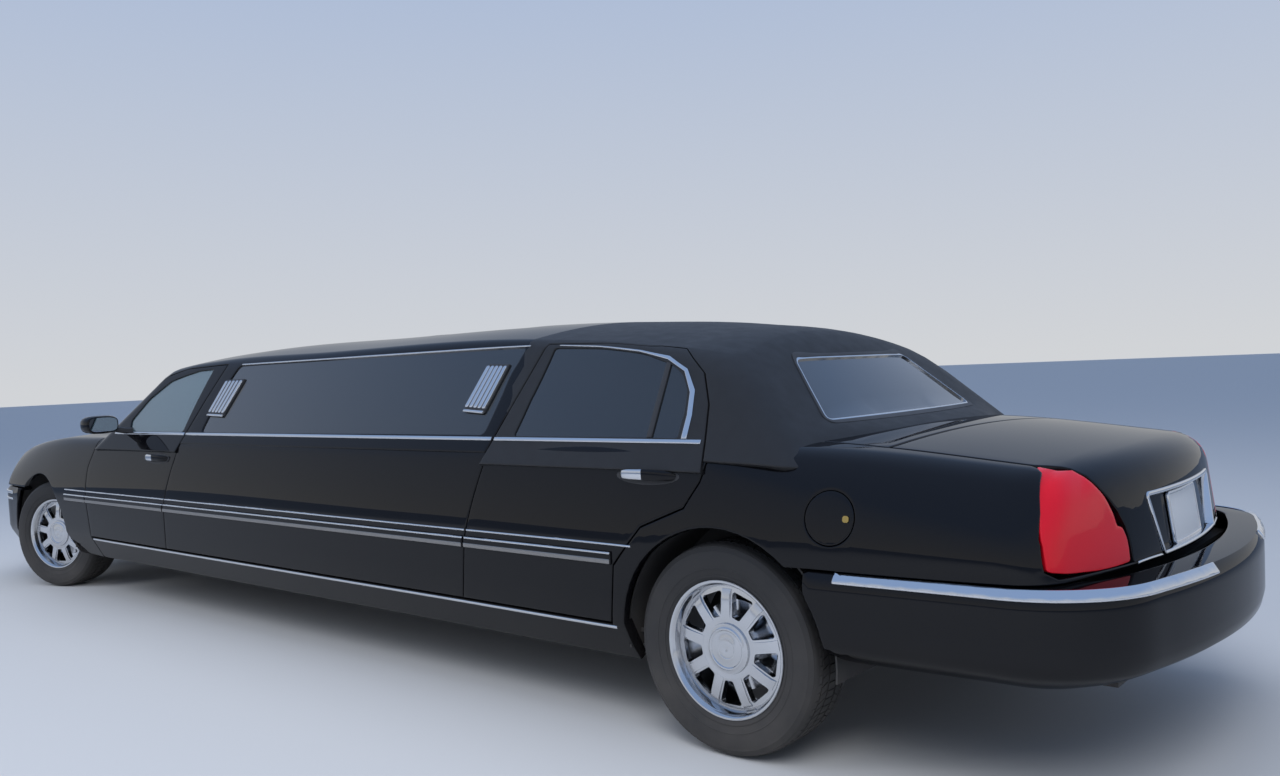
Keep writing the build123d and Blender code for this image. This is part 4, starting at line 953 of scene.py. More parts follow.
def circleThrough(a, b, c, count):
    # An arc from a through b to c
    a, b, c = (np.array(p, float) for p in (a, b, c))
    d = 2 * (a[0] * (b[1] - c[1]) + b[0] * (c[1] - a[1]) + c[0] * (a[1] - b[1]))
    centre = np.array([sum(p @ p * (q[1] - r[1]) for p, q, r in ((a, b, c), (b, c, a), (c, a, b))),
                       sum(p @ p * (r[0] - q[0]) for p, q, r in ((a, b, c), (b, c, a), (c, a, b)))]) / d
    start, end = (np.arctan2(*(p - centre)[::-1]) for p in (a, c))
    if end - start > pi:
        end -= 2 * pi
    if start - end > pi:
        end += 2 * pi
    angles = np.linspace(start, end, count)
    radius = np.linalg.norm(a - centre)
    return centre + radius * np.stack([np.cos(angles), np.sin(angles)], 1)


def evenly(line, step):
    # A line as places with equal steps, and the length at each
    lengths = np.concatenate([[0], np.cumsum(np.linalg.norm(np.diff(line, axis=0), axis=1))])
    marks = np.linspace(0, lengths[-1], int(lengths[-1] / step) + 1)
    return marks, np.stack([np.interp(marks, lengths, line[:, k]) for k in range(line.shape[1])], 1)


def softened(line, reach):
    # Rounds the corners of an even line and keeps its ends
    kernel = np.hanning(2 * reach + 3)[1:-1]
    kernel /= kernel.sum()
    before = 2 * line[0] - line[reach:0:-1]
    after = 2 * line[-1] - line[-2:-reach - 2:-1]
    padded = np.concatenate([before, line, after])
    return np.stack([np.convolve(padded[:, k], kernel, "valid") for k in range(line.shape[1])], 1)


class Bumper:
    def __init__(self, plan, profile):
        far = (plan[3][0], -plan[3][1])
        arc = circleThrough(plan[3], plan[4], far, 60)
        corner = circleThrough(plan[1], plan[2], plan[3], 40)
        half = np.concatenate([arc[29::-1], corner[::-1], [plan[0]]])
        half[0] = plan[4]
        self.marks, line = evenly(half, bumperEven["planStep"])
        self.line = softened(line, bumperEven["planSoft"])
        tangent = np.gradient(self.line, axis=0)
        tangent /= np.linalg.norm(tangent, axis=1, keepdims=True)
        self.heading = 1 if plan[4][0] > plan[0][0] else -1
        self.normal = np.stack([tangent[:, 1], -tangent[:, 0]], 1) * self.heading
        self.rise, rows = evenly(np.array(profile), bumperEven["profileStep"])
        self.rows = softened(rows, bumperEven["profileSoft"])

    def place(self, s, w):
        s, w = np.asarray(s, float), np.asarray(w, float)
        side = np.where(s < 0, -1.0, 1.0)
        spot = [np.interp(np.abs(s), self.marks, self.line[:, k]) for k in (0, 1)]
        normal = [np.interp(np.abs(s), self.marks, self.normal[:, k]) for k in (0, 1)]
        z = np.interp(w, self.rise, self.rows[:, 0])
        inward = np.interp(w, self.rise, self.rows[:, 1])
        x = spot[0] - normal[0] * inward + rearAxleX
        return np.stack([x, np.maximum(spot[1] - normal[1] * inward, 0) * side, z], -1)

    def atHeight(self, z):
        return float(np.interp(z, self.rows[:, 0], self.rise))

    def atWidth(self, y):
        start = int(np.argmax(self.line[:, 1] > bumperEven["sideWidth"])) or len(self.line)
        return float(np.interp(y, self.line[:start, 1], self.marks[:start]))

    def atPlace(self, x):
        order = np.argsort(self.line[:, 0])
        return float(np.interp(x, self.line[order, 0], self.marks[order]))


def archEdge(bar, axle, low, high):
    # Where the wheel arch cuts the end of a bumper, from low to high
    spots = []
    for z in np.linspace(low, high, 12):
        reach = sqrt(max(archRadius ** 2 - (z - wheelHeight) ** 2, 0.0)) if z > wheelHeight else archRadius
        spots.append((bar.atPlace(axle + bar.heading * reach), bar.atHeight(z)))
    return spots


def buildBumper(bar, name, stands, axle, low, holes=()):
    ends = archEdge(bar, axle, low + 0.004, 0.640)
    edge = ends + [(ends[-1][0], bar.rise[-1])]
    loop = edge + [(-s, w) for s, w in reversed(edge)]
    addPanel(name, loop, bar.place, "paint", stands=(stands,), holes=holes, edgeDrop=0.004)


rearBar, frontBar = Bumper(rearPlan, rearProfile), Bumper(frontPlan, frontProfile)


def bumperStrip(name, bar, s0, s1, z0, z1):
    low, high = bar.atHeight(z0), bar.atHeight(z1)
    outline = roundCorners([(s0, low), (s1, low), (s1, high), (s0, high)], 0.006)
    addPanel(name, outline, bar.place, "chrome", spacing=0.03, thickness=0.012, edgeDrop=0.004, offset=0.005)


def buildBumpers():
    buildBumper(rearBar, "rearBumperSkin", "rear_bumper", 0.0, 0.332)
    low, high, wide = frontBar.atHeight(0.392), frontBar.atHeight(0.478), frontBar.atWidth(0.36)
    intake = roundCorners([(-wide, low), (wide, low), (wide, high), (-wide, high)], 0.03)
    buildBumper(frontBar, "frontBumperSkin", "front_bumper", wheelBase, 0.262, [intake])
    seam, side = rearBar.atWidth(0.32), rearBar.atPlace(-0.435)
    frontSide = frontBar.atPlace(6.00)
    for sign, label in ((1, "Left"), (-1, "Right")):
        bumperStrip("rearStrip" + label, rearBar, *sorted((seam * sign, side * sign)), 0.618, 0.646)
        for low, high in ((0.600, 0.622), (0.560, 0.574)):
            bumperStrip("frontStrip" + label + str(int(low * 1000)), frontBar,
                        *sorted((0.02 * sign, frontSide * sign)), low, high)


buildBumpers()
print("bumpers made")

# Bright trim, louvres, handles, mirrors and small fittings on the sides
# Columns: name, finish, low height, high height, lift, rear end on the rear door
# The chrome strip of the side moulding is painted as its reflection: the black paint band is a painted dark
# reflection, the chrome line at its top is a painted highlight and the steel foot is a painted grey reflection. The
# thin chrome line higher up is a painted highlight on the top edge of the moulding.
sideBands = [("band", "paint", 0.602, 0.648, 0.008, 0.430), ("bandPaintedHighlight", "chrome", 0.638, 0.646, 0.0105, 0.432),
             ("bandFoot", "steel", 0.604, 0.622, 0.0095, 0.434), ("line", "chrome", 0.668, 0.676, 0.005, 0.340)]
bandEnds = {"fender": 5.07, "seam": 4.758, "halfGap": 0.005, "slantGap": 0.006, "sillFront": 4.74, "sillRear": 0.44,
            "sillLow": 0.370, "sillHigh": 0.381}
# Columns: name, the body that carries it, front end, rear end, low height, high height
upperStrips = [("beltDoor", "front_door_", 4.47, 3.618, 1.020, 1.034),
               ("beltPanel", "body", 3.600, 1.115, 1.020, 1.034),
               ("beltRear", "rear_door_", 1.097, 0.080, 1.020, 1.034),
               ("railPanel", "body", 3.30, 1.06, 1.3875, 1.394)]
rearArc = [(0.893, 1.389), (0.674, 1.376), (0.464, 1.350), (0.311, 1.316), (0.215, 1.270), (0.160, 1.198),
           (0.145, 1.114), (0.143, 1.036), (0.166, 1.036), (0.167, 1.114), (0.180, 1.190), (0.228, 1.262),
           (0.317, 1.306), (0.466, 1.342), (0.674, 1.370), (0.893, 1.384)]
windowBar = [(0.322, 1.040), (0.322, 1.300), (0.300, 1.292), (0.299, 1.040)]
louvreCorners = {"Rear": [(1.341, 1.131), (1.274, 1.328), (1.144, 1.323), (1.207, 1.122)],
                 "Front": [(3.453, 1.122), (3.394, 1.317), (3.207, 1.317), (3.278, 1.116)]}
louvre = {"count": 5, "baseSize": 0.95, "footSize": 0.05, "footInset": 0.04, "low": 0.09, "high": 0.07,
          "half": 0.0095, "round": 0.008}


def bandOutline(x0, x1, z0, z1):
    return roundCorners([(x, girthAtHeight(x, z)) for x, z in ((x0, z0), (x1, z0), (x1, z1), (x0, z1))], 0.004)


def slopeAt(pair, z):
    (xa, za), (xb, zb) = pair
    return xa + (xb - xa) * (z - za) / (zb - za)


def buildSideBands(mirror, side):
    seamFront, seamRear = [(3.744, 0.641), (3.610, 1.021)], [(1.212, 0.652), (1.105, 1.03)]
    half, slant = bandEnds["halfGap"], bandEnds["slantGap"]
    for label, finish, low, high, lift, rearEnd in sideBands:
        front, rear = (slopeAt(seam, (low + high) / 2) for seam in (seamFront, seamRear))
        for run, carrier, x0, x1 in (("Fender", "body", bandEnds["fender"], bandEnds["seam"] + half),
                                     ("Door", "front_door_" + side, bandEnds["seam"] - half, front + slant),
                                     ("Panel", "body", front - slant, rear + slant),
                                     ("RearDoor", "rear_door_" + side, rear - slant, rearEnd)):
            addPanel(label + run + side.capitalize(), bandOutline(x0, x1, low, high), bodyPoint, finish, carrier,
                     mirror=mirror, offset=lift, thickness=lift + 0.004, spacing=0.04)
    ends = (bandEnds[key] for key in ("sillFront", "sillRear", "sillLow", "sillHigh"))
    addPanel("sillLine" + side.capitalize(), bandOutline(*ends), bodyPoint, "chrome", mirror=mirror, offset=0.004,
             thickness=0.01, spacing=0.04)


def buildUpperTrim(sign, side):
    def run(name, points, carrier="body", finish="chrome", lift=0.005, thickness=0.012, spacing=0.04):
        addPanel(name + side.capitalize(), flipU(onSide([tuple(p) for p in points]), sign), upperPoint, finish,
                 carrier, offset=lift, thickness=thickness, spacing=spacing)

    for name, carrier, x0, x1, z0, z1 in upperStrips:
        run(name, [(x0, z0), (x1, z0), (x1, z1), (x0, z1)], carrier + side if carrier != "body" else "body")
    run("arcRear", rearArc, "rear_door_" + side)
    run("windowBar", windowBar, "rear_door_" + side, "plastic", 0.002)
    # Louvres on the pillars: slanted bright bars and a bright foot on a dark base
    for label, corners in louvreCorners.items():
        a, b, c, d = (np.array(corner) for corner in corners)
        centre, inset = (a + b + c + d) / 4, (d - a) * louvre["footInset"]
        run("louvreBase" + label, [centre + (corner - centre) * louvre["baseSize"] for corner in (a, b, c, d)],
            finish="plastic", lift=0.004, thickness=0.016)
        foot = [a + inset, d - inset, d - inset + (c - d) * louvre["footSize"],
                a + inset + (b - a) * louvre["footSize"]]
        run("louvreFoot" + label, foot, lift=0.010, thickness=0.01, spacing=0.03)
        for k in range(louvre["count"]):
            t = (k + 0.5) / louvre["count"]
            low = a + (d - a) * t + (b - a) * louvre["low"]
            high = b + (c - b) * t - (b - a) * louvre["high"]
            half = np.array((louvre["half"], 0.0))
            slat = roundCorners([low + half, high + half, high - half, low - half], louvre["round"])
            run("slat" + label + str(k), slat, lift=0.012, thickness=0.010, spacing=0.03)


for mirror, side in ((False, "left"), (True, "right")):
    buildSideBands(mirror, side)
for sign, side in ((1, "left"), (-1, "right")):
    buildUpperTrim(sign, side)
print("side trim made")


def tubeFaces(rings, size, ends=True):
    # Faces round a row of rings with the same number of places
    faces = [(i * size + k, i * size + (k + 1) % size, (i + 1) * size + (k + 1) % size, (i + 1) * size + k)
             for i in range(rings - 1) for k in range(size)]
    last = (rings - 1) * size
    return faces + [tuple(range(size))[::-1], tuple(range(last, last + size))] if ends else faces


def softSquare(count, power):
    # Places on a rounded square of half width one
    made = []
    for a in np.linspace(0, 2 * pi, count, False):
        size = (abs(cos(a)) ** power + abs(sin(a)) ** power) ** (-1 / power)
        made.append((cos(a) * size, sin(a) * size))
    return made


def barBody(name, spots, widths, heights, sides=12, mirror=False):
    # A rounded bar through places, with its own width and height at each
    spots, verts = [Vector(p) for p in spots], []
    for i, spot in enumerate(spots):
        ahead = (spots[min(i + 1, len(spots) - 1)] - spots[max(i - 1, 0)]).normalized()
        across = ahead.cross(Vector((0, 0, 1))).normalized()
        above = across.cross(ahead)
        verts += [spot + across * (a * widths[i] / 2) + above * (b * heights[i] / 2) for a, b in softSquare(sides, 4)]
    return turnOut(makeMesh(name, verts, tubeFaces(len(spots), sides), mirror))


def turnOut(piece, bevel=0):
    # Turns the faces outwards, after an optional bevel of all edges
    mesh = bmesh.new()
    mesh.from_mesh(piece.data)
    if bevel:
        bmesh.ops.bevel(mesh, geom=mesh.edges[:], offset=bevel, segments=3, affect="EDGES", profile=0.5)
    bmesh.ops.recalc_face_normals(mesh, faces=mesh.faces)
    mesh.to_mesh(piece.data)
    mesh.free()
    return piece


def skinPlace(x, z, lift):
    g = girthAtHeight(x, z)
    place = bodyPoint(np.array([x]), np.array([g]))
    normal = surfaceNormals(bodyPoint, np.array([x]), np.array([g]))
    sign = 1 if normal[0][1] > 0 else -1
    return place[0] + normal[0] * sign * lift


handle = {"ends": (0.0, 0.008, 0.03, 0.06), "lifts": (-0.002, 0.008, 0.021, 0.027), "middleLift": 0.030,
          "heights": (0.016, 0.026, 0.032, 0.034), "middleHeight": 0.036, "width": 0.012, "cupPast": 0.018,
          "cupHalf": 0.030}
# Columns: name, the body that carries it, rear end, front end, height
handlePlaces = [("frontHandle", "front_door_", 3.735, 3.985, 0.892), ("rearHandle", "rear_door_", 0.165, 0.405, 0.912)]


def buildHandles():
    lifts, heights = (list(handle[key]) + [handle[middle]] + list(handle[key])[::-1]
                      for key, middle in (("lifts", "middleLift"), ("heights", "middleHeight")))
    for mirror, side in ((False, "left"), (True, "right")):
        for name, carrier, x0, x1, z in handlePlaces:
            xs = [x0 + end for end in handle["ends"]] + [(x0 + x1) / 2] + [x1 - end for end in handle["ends"][::-1]]
            spots = [skinPlace(x, z, lift) for x, lift in zip(xs, lifts)]
            for part, finish, first, last in (("Front", "chrome", 4, 9), ("Rear", "paint", 0, 5)):
                grip = barBody(name + part + side.capitalize(), spots[first:last], [handle["width"]] * 5,
                               heights[first:last], 16, mirror)
                dress(grip, finish, carrier + side)
            past, half = handle["cupPast"], handle["cupHalf"]
            cup = [(x0 - past + (x1 - x0 + 2 * past) * (1 + a) / 2, z + half * b) for a, b in circle((0, 0), 1, 32)]
            addPanel(name + "Cup" + side.capitalize(), [(x, girthAtHeight(x, h)) for x, h in cup], bodyPoint,
                     "plastic", carrier + side, offset=0.0015, thickness=0.004, edgeDrop=0.001, spacing=0.04,
                     mirror=mirror)


doorMirror = {"centre": (4.335, 1.066, 1.088), "wide": 0.094, "tall": 0.052, "power": 3.4, "sides": 28,
              "glassX": -0.0865, "glassWide": 0.078, "glassTall": 0.040, "glassDeep": 0.004}
# Columns: place along, share of the width, share of the height
mirrorRows = [(-0.085, 0.70, 0.62), (-0.078, 0.93, 0.90), (-0.055, 1.0, 1.0), (0.0, 0.97, 0.95),
              (0.045, 0.80, 0.78), (0.068, 0.5, 0.45), (0.076, 0.15, 0.15)]
mirrorFoot = [(-0.02, -0.188, -0.050), (-0.02, -0.15, -0.045), (-0.015, -0.08, -0.03), (0.0, -0.03, -0.01)]


def buildMirrors():
    x, y, z = doorMirror["centre"]
    centre, sides = Vector((rearAxleX + x, y, z)), doorMirror["sides"]
    shell = [centre + Vector((along, a * doorMirror["wide"] * wide, b * doorMirror["tall"] * tall))
             for along, wide, tall in mirrorRows for a, b in softSquare(sides, doorMirror["power"])]
    glass = [centre + Vector((doorMirror["glassX"] + deep, a * doorMirror["glassWide"], b * doorMirror["glassTall"]))
             for deep in (0, doorMirror["glassDeep"]) for a, b in softSquare(sides, 4)]
    foot = [centre + Vector(p) for p in mirrorFoot]
    for mirror, side in ((False, "left"), (True, "right")):
        tag, carrier = side.capitalize(), "front_door_" + side
        dress(turnOut(makeMesh("mirrorShell" + tag, shell, tubeFaces(len(mirrorRows), sides), mirror)), "paint",
              carrier)
        stem = barBody("mirrorStem" + tag, foot, [0.10, 0.08, 0.07, 0.07], [0.045, 0.035, 0.035, 0.035], 12, mirror)
        dress(stem, "plastic", carrier)
        dress(turnOut(makeMesh("mirrorFace" + tag, glass, tubeFaces(2, sides), mirror)), "mirrorGlass", carrier)


def buildFuelDoor():
    spots = [(x, girthAtHeight(x, z)) for x, z in circle(fuelCap["centre"], fuelCap["radius"])]
    addPanel("fuelSkin", spots, bodyPoint, "paint", "fuel_door", stands=("fuel_door",), spacing=0.02,
             thickness=0.007, edgeDrop=0.002)
    places = [skinPlace(fuelCap["lockX"], fuelCap["centre"][1], lift) for lift in (-0.003, 0.004)]
    dress(barBody("fuelLock", places, [0.02] * 2, [0.02] * 2), "brass", "fuel_door")


buildHandles()
buildMirrors()
buildFuelDoor()
print("handles, mirrors and fuel door made")

# Plate recess with its frame, a blank plate, and the bright line under the trunk lid
def buildPlate():
    rim, depth, half, tall = (plateFace[key] for key in ("rim", "depth", "half", "tall"))
    middle = (plateFace["low"] + plateFace["high"]) / 2 - plateFace["down"]
    corners = [(half, middle - tall), (half, middle + tall), (-half, middle + tall), (-half, middle - tall)]
    outline = roundCorners([endSpot(y, z, True) for y, z in fillIn(corners, close=True)], 0.008)
    # Columns: name, outline, hole, finish, spacing, thickness, edge drop, lift
    rows = [("plateFrame", grow(plateHole, rim, 0.03), [shrink(plateHole, 0.002)], "chrome", 0.03, depth + 0.006,
             0.004, 0.005),
            ("plateTray", grow(plateHole, 0.004, 0.03), (), "paint", 0.05, 0.005, 0.001, -depth + 0.004),
            ("plateBlank", outline, (), "plate", 0.05, 0.004, 0.001, -depth + 0.014),
            ("plateBorder", grow(outline, 0.007, 0.03), [shrink(outline, 0.003)], "chrome", 0.04, 0.010, 0.002,
             -depth + 0.017)]
    for sign, label in ((1, "Left"), (-1, "Right")):
        spots = ((0.318, 0.656), (0.480, 0.656), (0.480, 0.665), (0.318, 0.665))
        line = [endSpot(y * sign, z, True) for y, z in spots]
        rows.append(("lidLine" + label, line, (), "chrome", 0.03, 0.008, 0.002, 0.004))
    for name, edge, holes, finish, spacing, thickness, drop, lift in rows:
        addPanel(name, edge, crossPoint, finish, "trunk_lid", "chrome_trim" if finish == "plate" else None,
                 holes=holes, spacing=spacing, thickness=thickness, edgeDrop=drop, offset=lift)


buildPlate()
print("plate made")


# A geometry node group that repeats a piece in a ring or a row
def makeRepeatGroup():
    group = bpy.data.node_groups.new("repeatPiece", "GeometryNodeTree")
    face = group.interface
    face.new_socket(name="Geometry", in_out="INPUT", socket_type="NodeSocketGeometry")
    for label, kind, value in (("Count", "NodeSocketInt", 8), ("Turn", "NodeSocketVector", (0, 0, 0)),
                               ("Step", "NodeSocketVector", (0, 0, 0)), ("Wobble", "NodeSocketFloat", 0.0),
                               ("Seed", "NodeSocketInt", 3)):
        face.new_socket(name=label, in_out="INPUT", socket_type=kind).default_value = value
    face.new_socket(name="Finish", in_out="INPUT", socket_type="NodeSocketMaterial")
    face.new_socket(name="Geometry", in_out="OUTPUT", socket_type="NodeSocketGeometry")
    taken, given = node(group, "NodeGroupInput"), node(group, "NodeGroupOutput")
    index, chance = node(group, "GeometryNodeInputIndex"), node(group, "FunctionNodeRandomValue")
    wobble, place = (node(group, "ShaderNodeMath", operation=kind) for kind in ("MULTIPLY", "ADD"))
    turn, step = (node(group, "ShaderNodeVectorMath", operation="SCALE") for _ in range(2))
    points, copies, whole, painted = (node(group, "GeometryNode" + kind) for kind in (
        "Points", "InstanceOnPoints", "RealizeInstances", "SetMaterial"))
    wire(group, [
        (taken, "Seed", chance, "Seed"), (chance, 1, wobble, 0), (taken, "Wobble", wobble, 1), (index, 0, place, 0),
        (wobble, 0, place, 1), (taken, "Turn", turn, 0), (place, 0, turn, "Scale"), (taken, "Step", step, 0),
        (index, 0, step, "Scale"), (taken, "Count", points, "Count"), (step, 0, points, "Position"),
        (points, 0, copies, "Points"), (taken, "Geometry", copies, "Instance"), (turn, 0, copies, "Rotation"),
        (copies, 0, whole, 0), (whole, 0, painted, "Geometry"), (taken, "Finish", painted, "Material"),
        (painted, 0, given, "Geometry")])
    return group


repeatGroup = makeRepeatGroup()


def repeatPiece(piece, finish, count, turn=(0, 0, 0), step=(0, 0, 0), wobble=0.0):
    # Repeats a mesh and makes the result a plain mesh
    modifier = piece.modifiers.new("repeat", "NODES")
    modifier.node_group = repeatGroup
    values = {"Count": count, "Turn": turn, "Step": step, "Wobble": wobble, "Finish": materials[finish]}
    for item in repeatGroup.interface.items_tree:
        if item.item_type == "SOCKET" and item.in_out == "INPUT" and item.name in values:
            modifier[item.identifier] = values[item.name]
    bpy.context.view_layer.update()
    graph = bpy.context.evaluated_depsgraph_get()
    mesh = bpy.data.meshes.new_from_object(piece.evaluated_get(graph), depsgraph=graph)
    mesh.name = piece.name
    piece.modifiers.clear()
    piece.data = mesh
    return piece


def revolved(name, profile, count, closed=True):
    # A ring about the Y axis from places given as (y, radius)
    verts = [(r * sin(2 * pi * k / count), y, r * cos(2 * pi * k / count)) for k in range(count) for y, r in profile]
    size = len(profile)
    faces = [(k * size + i, k * size + (i + 1) % size, (k + 1) % count * size + (i + 1) % size,
              (k + 1) % count * size + i) for k in range(count) for i in range(size if closed else size - 1)]
    return makeMesh(name, verts, faces)


tyre = {"rows": 76, "base": 0.3462, "baseDrop": 0.003, "edgeDepth": 0.006, "shoulder": 0.345, "half": 0.42,
        "segments": 112, "wobble": 0.06}
sidewall = [(0.096, 0.2285), (0.1015, 0.2350), (0.1040, 0.2400), (0.1062, 0.2405), (0.1066, 0.2445), (0.1050, 0.2460),
            (0.1080, 0.2560), (0.1105, 0.2660), (0.1120, 0.2670), (0.1122, 0.2700), (0.1112, 0.2712),
            (0.1128, 0.2850), (0.1128, 0.3000), (0.1112, 0.3140), (0.1092, 0.3210), (0.1096, 0.3235),
            (0.1080, 0.3250), (0.1040, 0.3340), (0.0985, 0.3400), (0.0920, 0.3440), (0.0800, 0.3462)]
# Columns: left and right edge, radius at each, slant in pitches
treadRows = [(0.101, 0.068, 0.3395, 0.3498, 0.30), (0.060, 0.028, 0.3500, 0.3506, 0.22),
             (0.020, -0.020, 0.3506, 0.3506, 0.0), (-0.028, -0.060, 0.3506, 0.3500, -0.22),
             (-0.068, -0.101, 0.3498, 0.3395, -0.30)]
boxFaces = [(0, 1, 3, 2), (4, 6, 7, 5), (0, 4, 5, 1), (1, 5, 7, 3), (3, 7, 6, 2), (2, 6, 4, 0)]


def treadBlocks(name):
    # One pitch of the tread: five slanted blocks
    verts, faces = [], []
    pitch = 2 * pi / tyre["rows"]
    for y0, y1, r0, r1, slant in treadRows:
        faces += [tuple(len(verts) + i for i in quad) for quad in boxFaces]
        for inner in (False, True):
            for y, r, shift in ((y0, r0, -slant), (y1, r1, slant)):
                drop = r - tyre["base"] + tyre["baseDrop"] if r > tyre["shoulder"] else tyre["edgeDepth"]
                radius = r - drop if inner else r
                for edge in (-tyre["half"], tyre["half"]):
                    angle = (edge + shift) * pitch
                    verts.append((radius * sin(angle), y, radius * cos(angle)))
    return makeMesh(name, verts, faces, smooth=25)


capRings = [(0.084, 0.0), (0.0868, 0.010), (0.0872, 0.026), (0.0862, 0.030), (0.0878, 0.033), (0.0878, 0.037),
            (0.0862, 0.040), (0.0866, 0.056), (0.0858, 0.060), (0.0884, 0.063), (0.0884, 0.068), (0.0850, 0.072),
            (0.0845, 0.080), (0.0800, 0.084), (0.0740, 0.0845)]
flangeRing = [(0.0985, 0.2280), (0.1015, 0.2268), (0.1022, 0.2230), (0.1005, 0.2190), (0.0930, 0.2150),
              (0.0890, 0.2120), (0.0870, 0.2150), (0.0950, 0.2200)]
# Columns: radius, face of the rib, half width
ribRows = [(0.100, 0.0790, 0.0165), (0.125, 0.0800, 0.0160), (0.155, 0.0790, 0.0158), (0.180, 0.0760, 0.0165),
           (0.196, 0.0700, 0.0195)]
wheelTurns = {"front_left": 19.6, "front_right": 199.6, "rear_left": 0.0, "rear_right": 180.0}
spokeCount = 9


def spokeRib(name):
    # Raised band along the middle of one spoke
    verts = []
    for r, y, half in ribRows:
        verts += [(half * part, y + rise, r)
                  for part, rise in ((-1, -0.008), (-0.9, 0.0012), (0.9, 0.0012), (1, -0.008))]
    return makeMesh(name, verts, tubeFaces(len(ribRows), 4), smooth=30)


def buildWheels():
    profile = sidewall + [(-y, r) for y, r in reversed(sidewall)]
    for place, degrees in wheelTurns.items():
        low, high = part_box("rim_" + place)
        move = Matrix.Translation((low + high) / 2) @ Matrix.Rotation(radians(degrees), 4, "Z")
        tag = place.replace("_", " ").title().replace(" ", "")
        rubber = revolved("tyreSkin" + tag, profile, tyre["segments"])
        blocks = repeatPiece(treadBlocks("treadBlocks" + tag), "rubber", tyre["rows"],
                             turn=(0, 2 * pi / tyre["rows"], 0), wobble=tyre["wobble"])
        cap = revolved("wheelCap" + tag, capRings + [(0.078, 0.0845), (0.078, 0.0)], 72, False)
        flange = revolved("wheelFlange" + tag, flangeRing, 96)
        ribs = repeatPiece(spokeRib("spokeRibs" + tag), "wheelChrome", spokeCount, turn=(0, 2 * pi / spokeCount, 0))
        for piece, finish, stands in ((rubber, "rubber", ("tyre_" + place,)), (blocks, "rubber", ()),
                                      (cap, "wheelChrome", ()), (flange, "wheelChrome", ()),
                                      (ribs, "wheelChrome", ())):
            piece.data.transform(move)
            dress(turnOut(piece), finish, "wheel_" + place, stands=stands)


buildWheels()
print("wheels made")


# Liners over the wheels
def archLiner(name, axle, radius, inner, outer):
    angles = np.linspace(-0.12, pi + 0.12, 40)
    corners = ((radius, inner), (radius, outer), (radius + 0.006, outer), (radius + 0.006, inner))
    verts = [(rearAxleX + axle + r * cos(a), y, wheelHeight + r * sin(a)) for a in angles for r, y in corners]
    pair = [makeMesh(name + str(k), verts, tubeFaces(len(angles), 4), bool(k)) for k in (0, 1)]
    dress(turnOut(joinPieces(name, pair)), "underbody")


archLiner("rearLiners", 0.0, 0.410, 0.640, 0.925)
archLiner("frontLiners", wheelBase, 0.450, 0.500, 0.925)
print("liners made")

# Padded seats with sewn channels
cushion = {"sidePull": 0.025, "grooveDepth": 0.011, "grooveWidth": 0.010, "grooveEnd": 0.93}


def cubeGrid(count):
    # A cube of half width one with its sides cut into squares
    grid = np.linspace(-1, 1, count + 1)
    faces, seen = [], {}
    for axis in range(3):
        for sign in (-1, 1):
            ids = np.empty((count + 1, count + 1), int)
            for i, a in enumerate(grid):
                for j, b in enumerate(grid):
                    spot = [a, b]
                    spot.insert(axis, sign)
                    ids[i, j] = seen.setdefault(tuple(np.round(spot, 5)), len(seen))
            quads = [(ids[i, j], ids[i + 1, j], ids[i + 1, j + 1], ids[i, j + 1])
                     for i in range(count) for j in range(count)]
            faces += quads if (sign > 0) != (axis == 1) else [quad[::-1] for quad in quads]
    return np.array(list(seen)), faces


def makeCushion(name, centre, size, lean=0.0, channels=5, across=0, crown=0.02, power=4.5, count=22, turn=0.0):
    # A crowned closed form whose sides pull in between the corners, with sewn channels
    spots, faces = cubeGrid(count)
    spots = spots / ((np.abs(spots) ** power).sum(1) ** (1 / power))[:, None]
    along, side = spots[:, 0].copy(), spots[:, 1].copy()
    spots[:, 0] *= 1 - cushion["sidePull"] * (1 - side ** 2)
    spots[:, 1] *= 1 - cushion["sidePull"] * (1 - along ** 2)
    place = spots * np.array(size) / 2
    top = np.clip(spots[:, 2], 0, 1) ** 2
    place[:, 2] += top * crown * (1 - along ** 2) * (1 - side ** 2)
    run = (along, side)[across]
    offset = ((run + 1) / 2 * channels + 0.5) % 1 - 0.5
    groove = np.exp(-(offset * size[across] / channels / cushion["grooveWidth"]) ** 2)
    place[:, 2] -= top * cushion["grooveDepth"] * groove * (np.abs(run) < cushion["grooveEnd"])
    turned = Matrix.Rotation(turn, 3, "Z") @ Matrix.Rotation(lean, 3, "Y")
    return turnOut(makeMesh(name, place @ np.array(turned).T + np.array(centre), faces, smooth=70))


def seatBlock(name, low, high):
    verts = [(x, y, z) for x in (low[0], high[0]) for y in (low[1], high[1]) for z in (low[2], high[2])]
    dress(turnOut(makeMesh(name, verts, boxFaces), 0.012), "plastic")


def addPad(name, centre, size, stands=(), **more):
    piece = makeCushion(name, centre, size, **more)
    dress(piece, "leather", stands=stands)


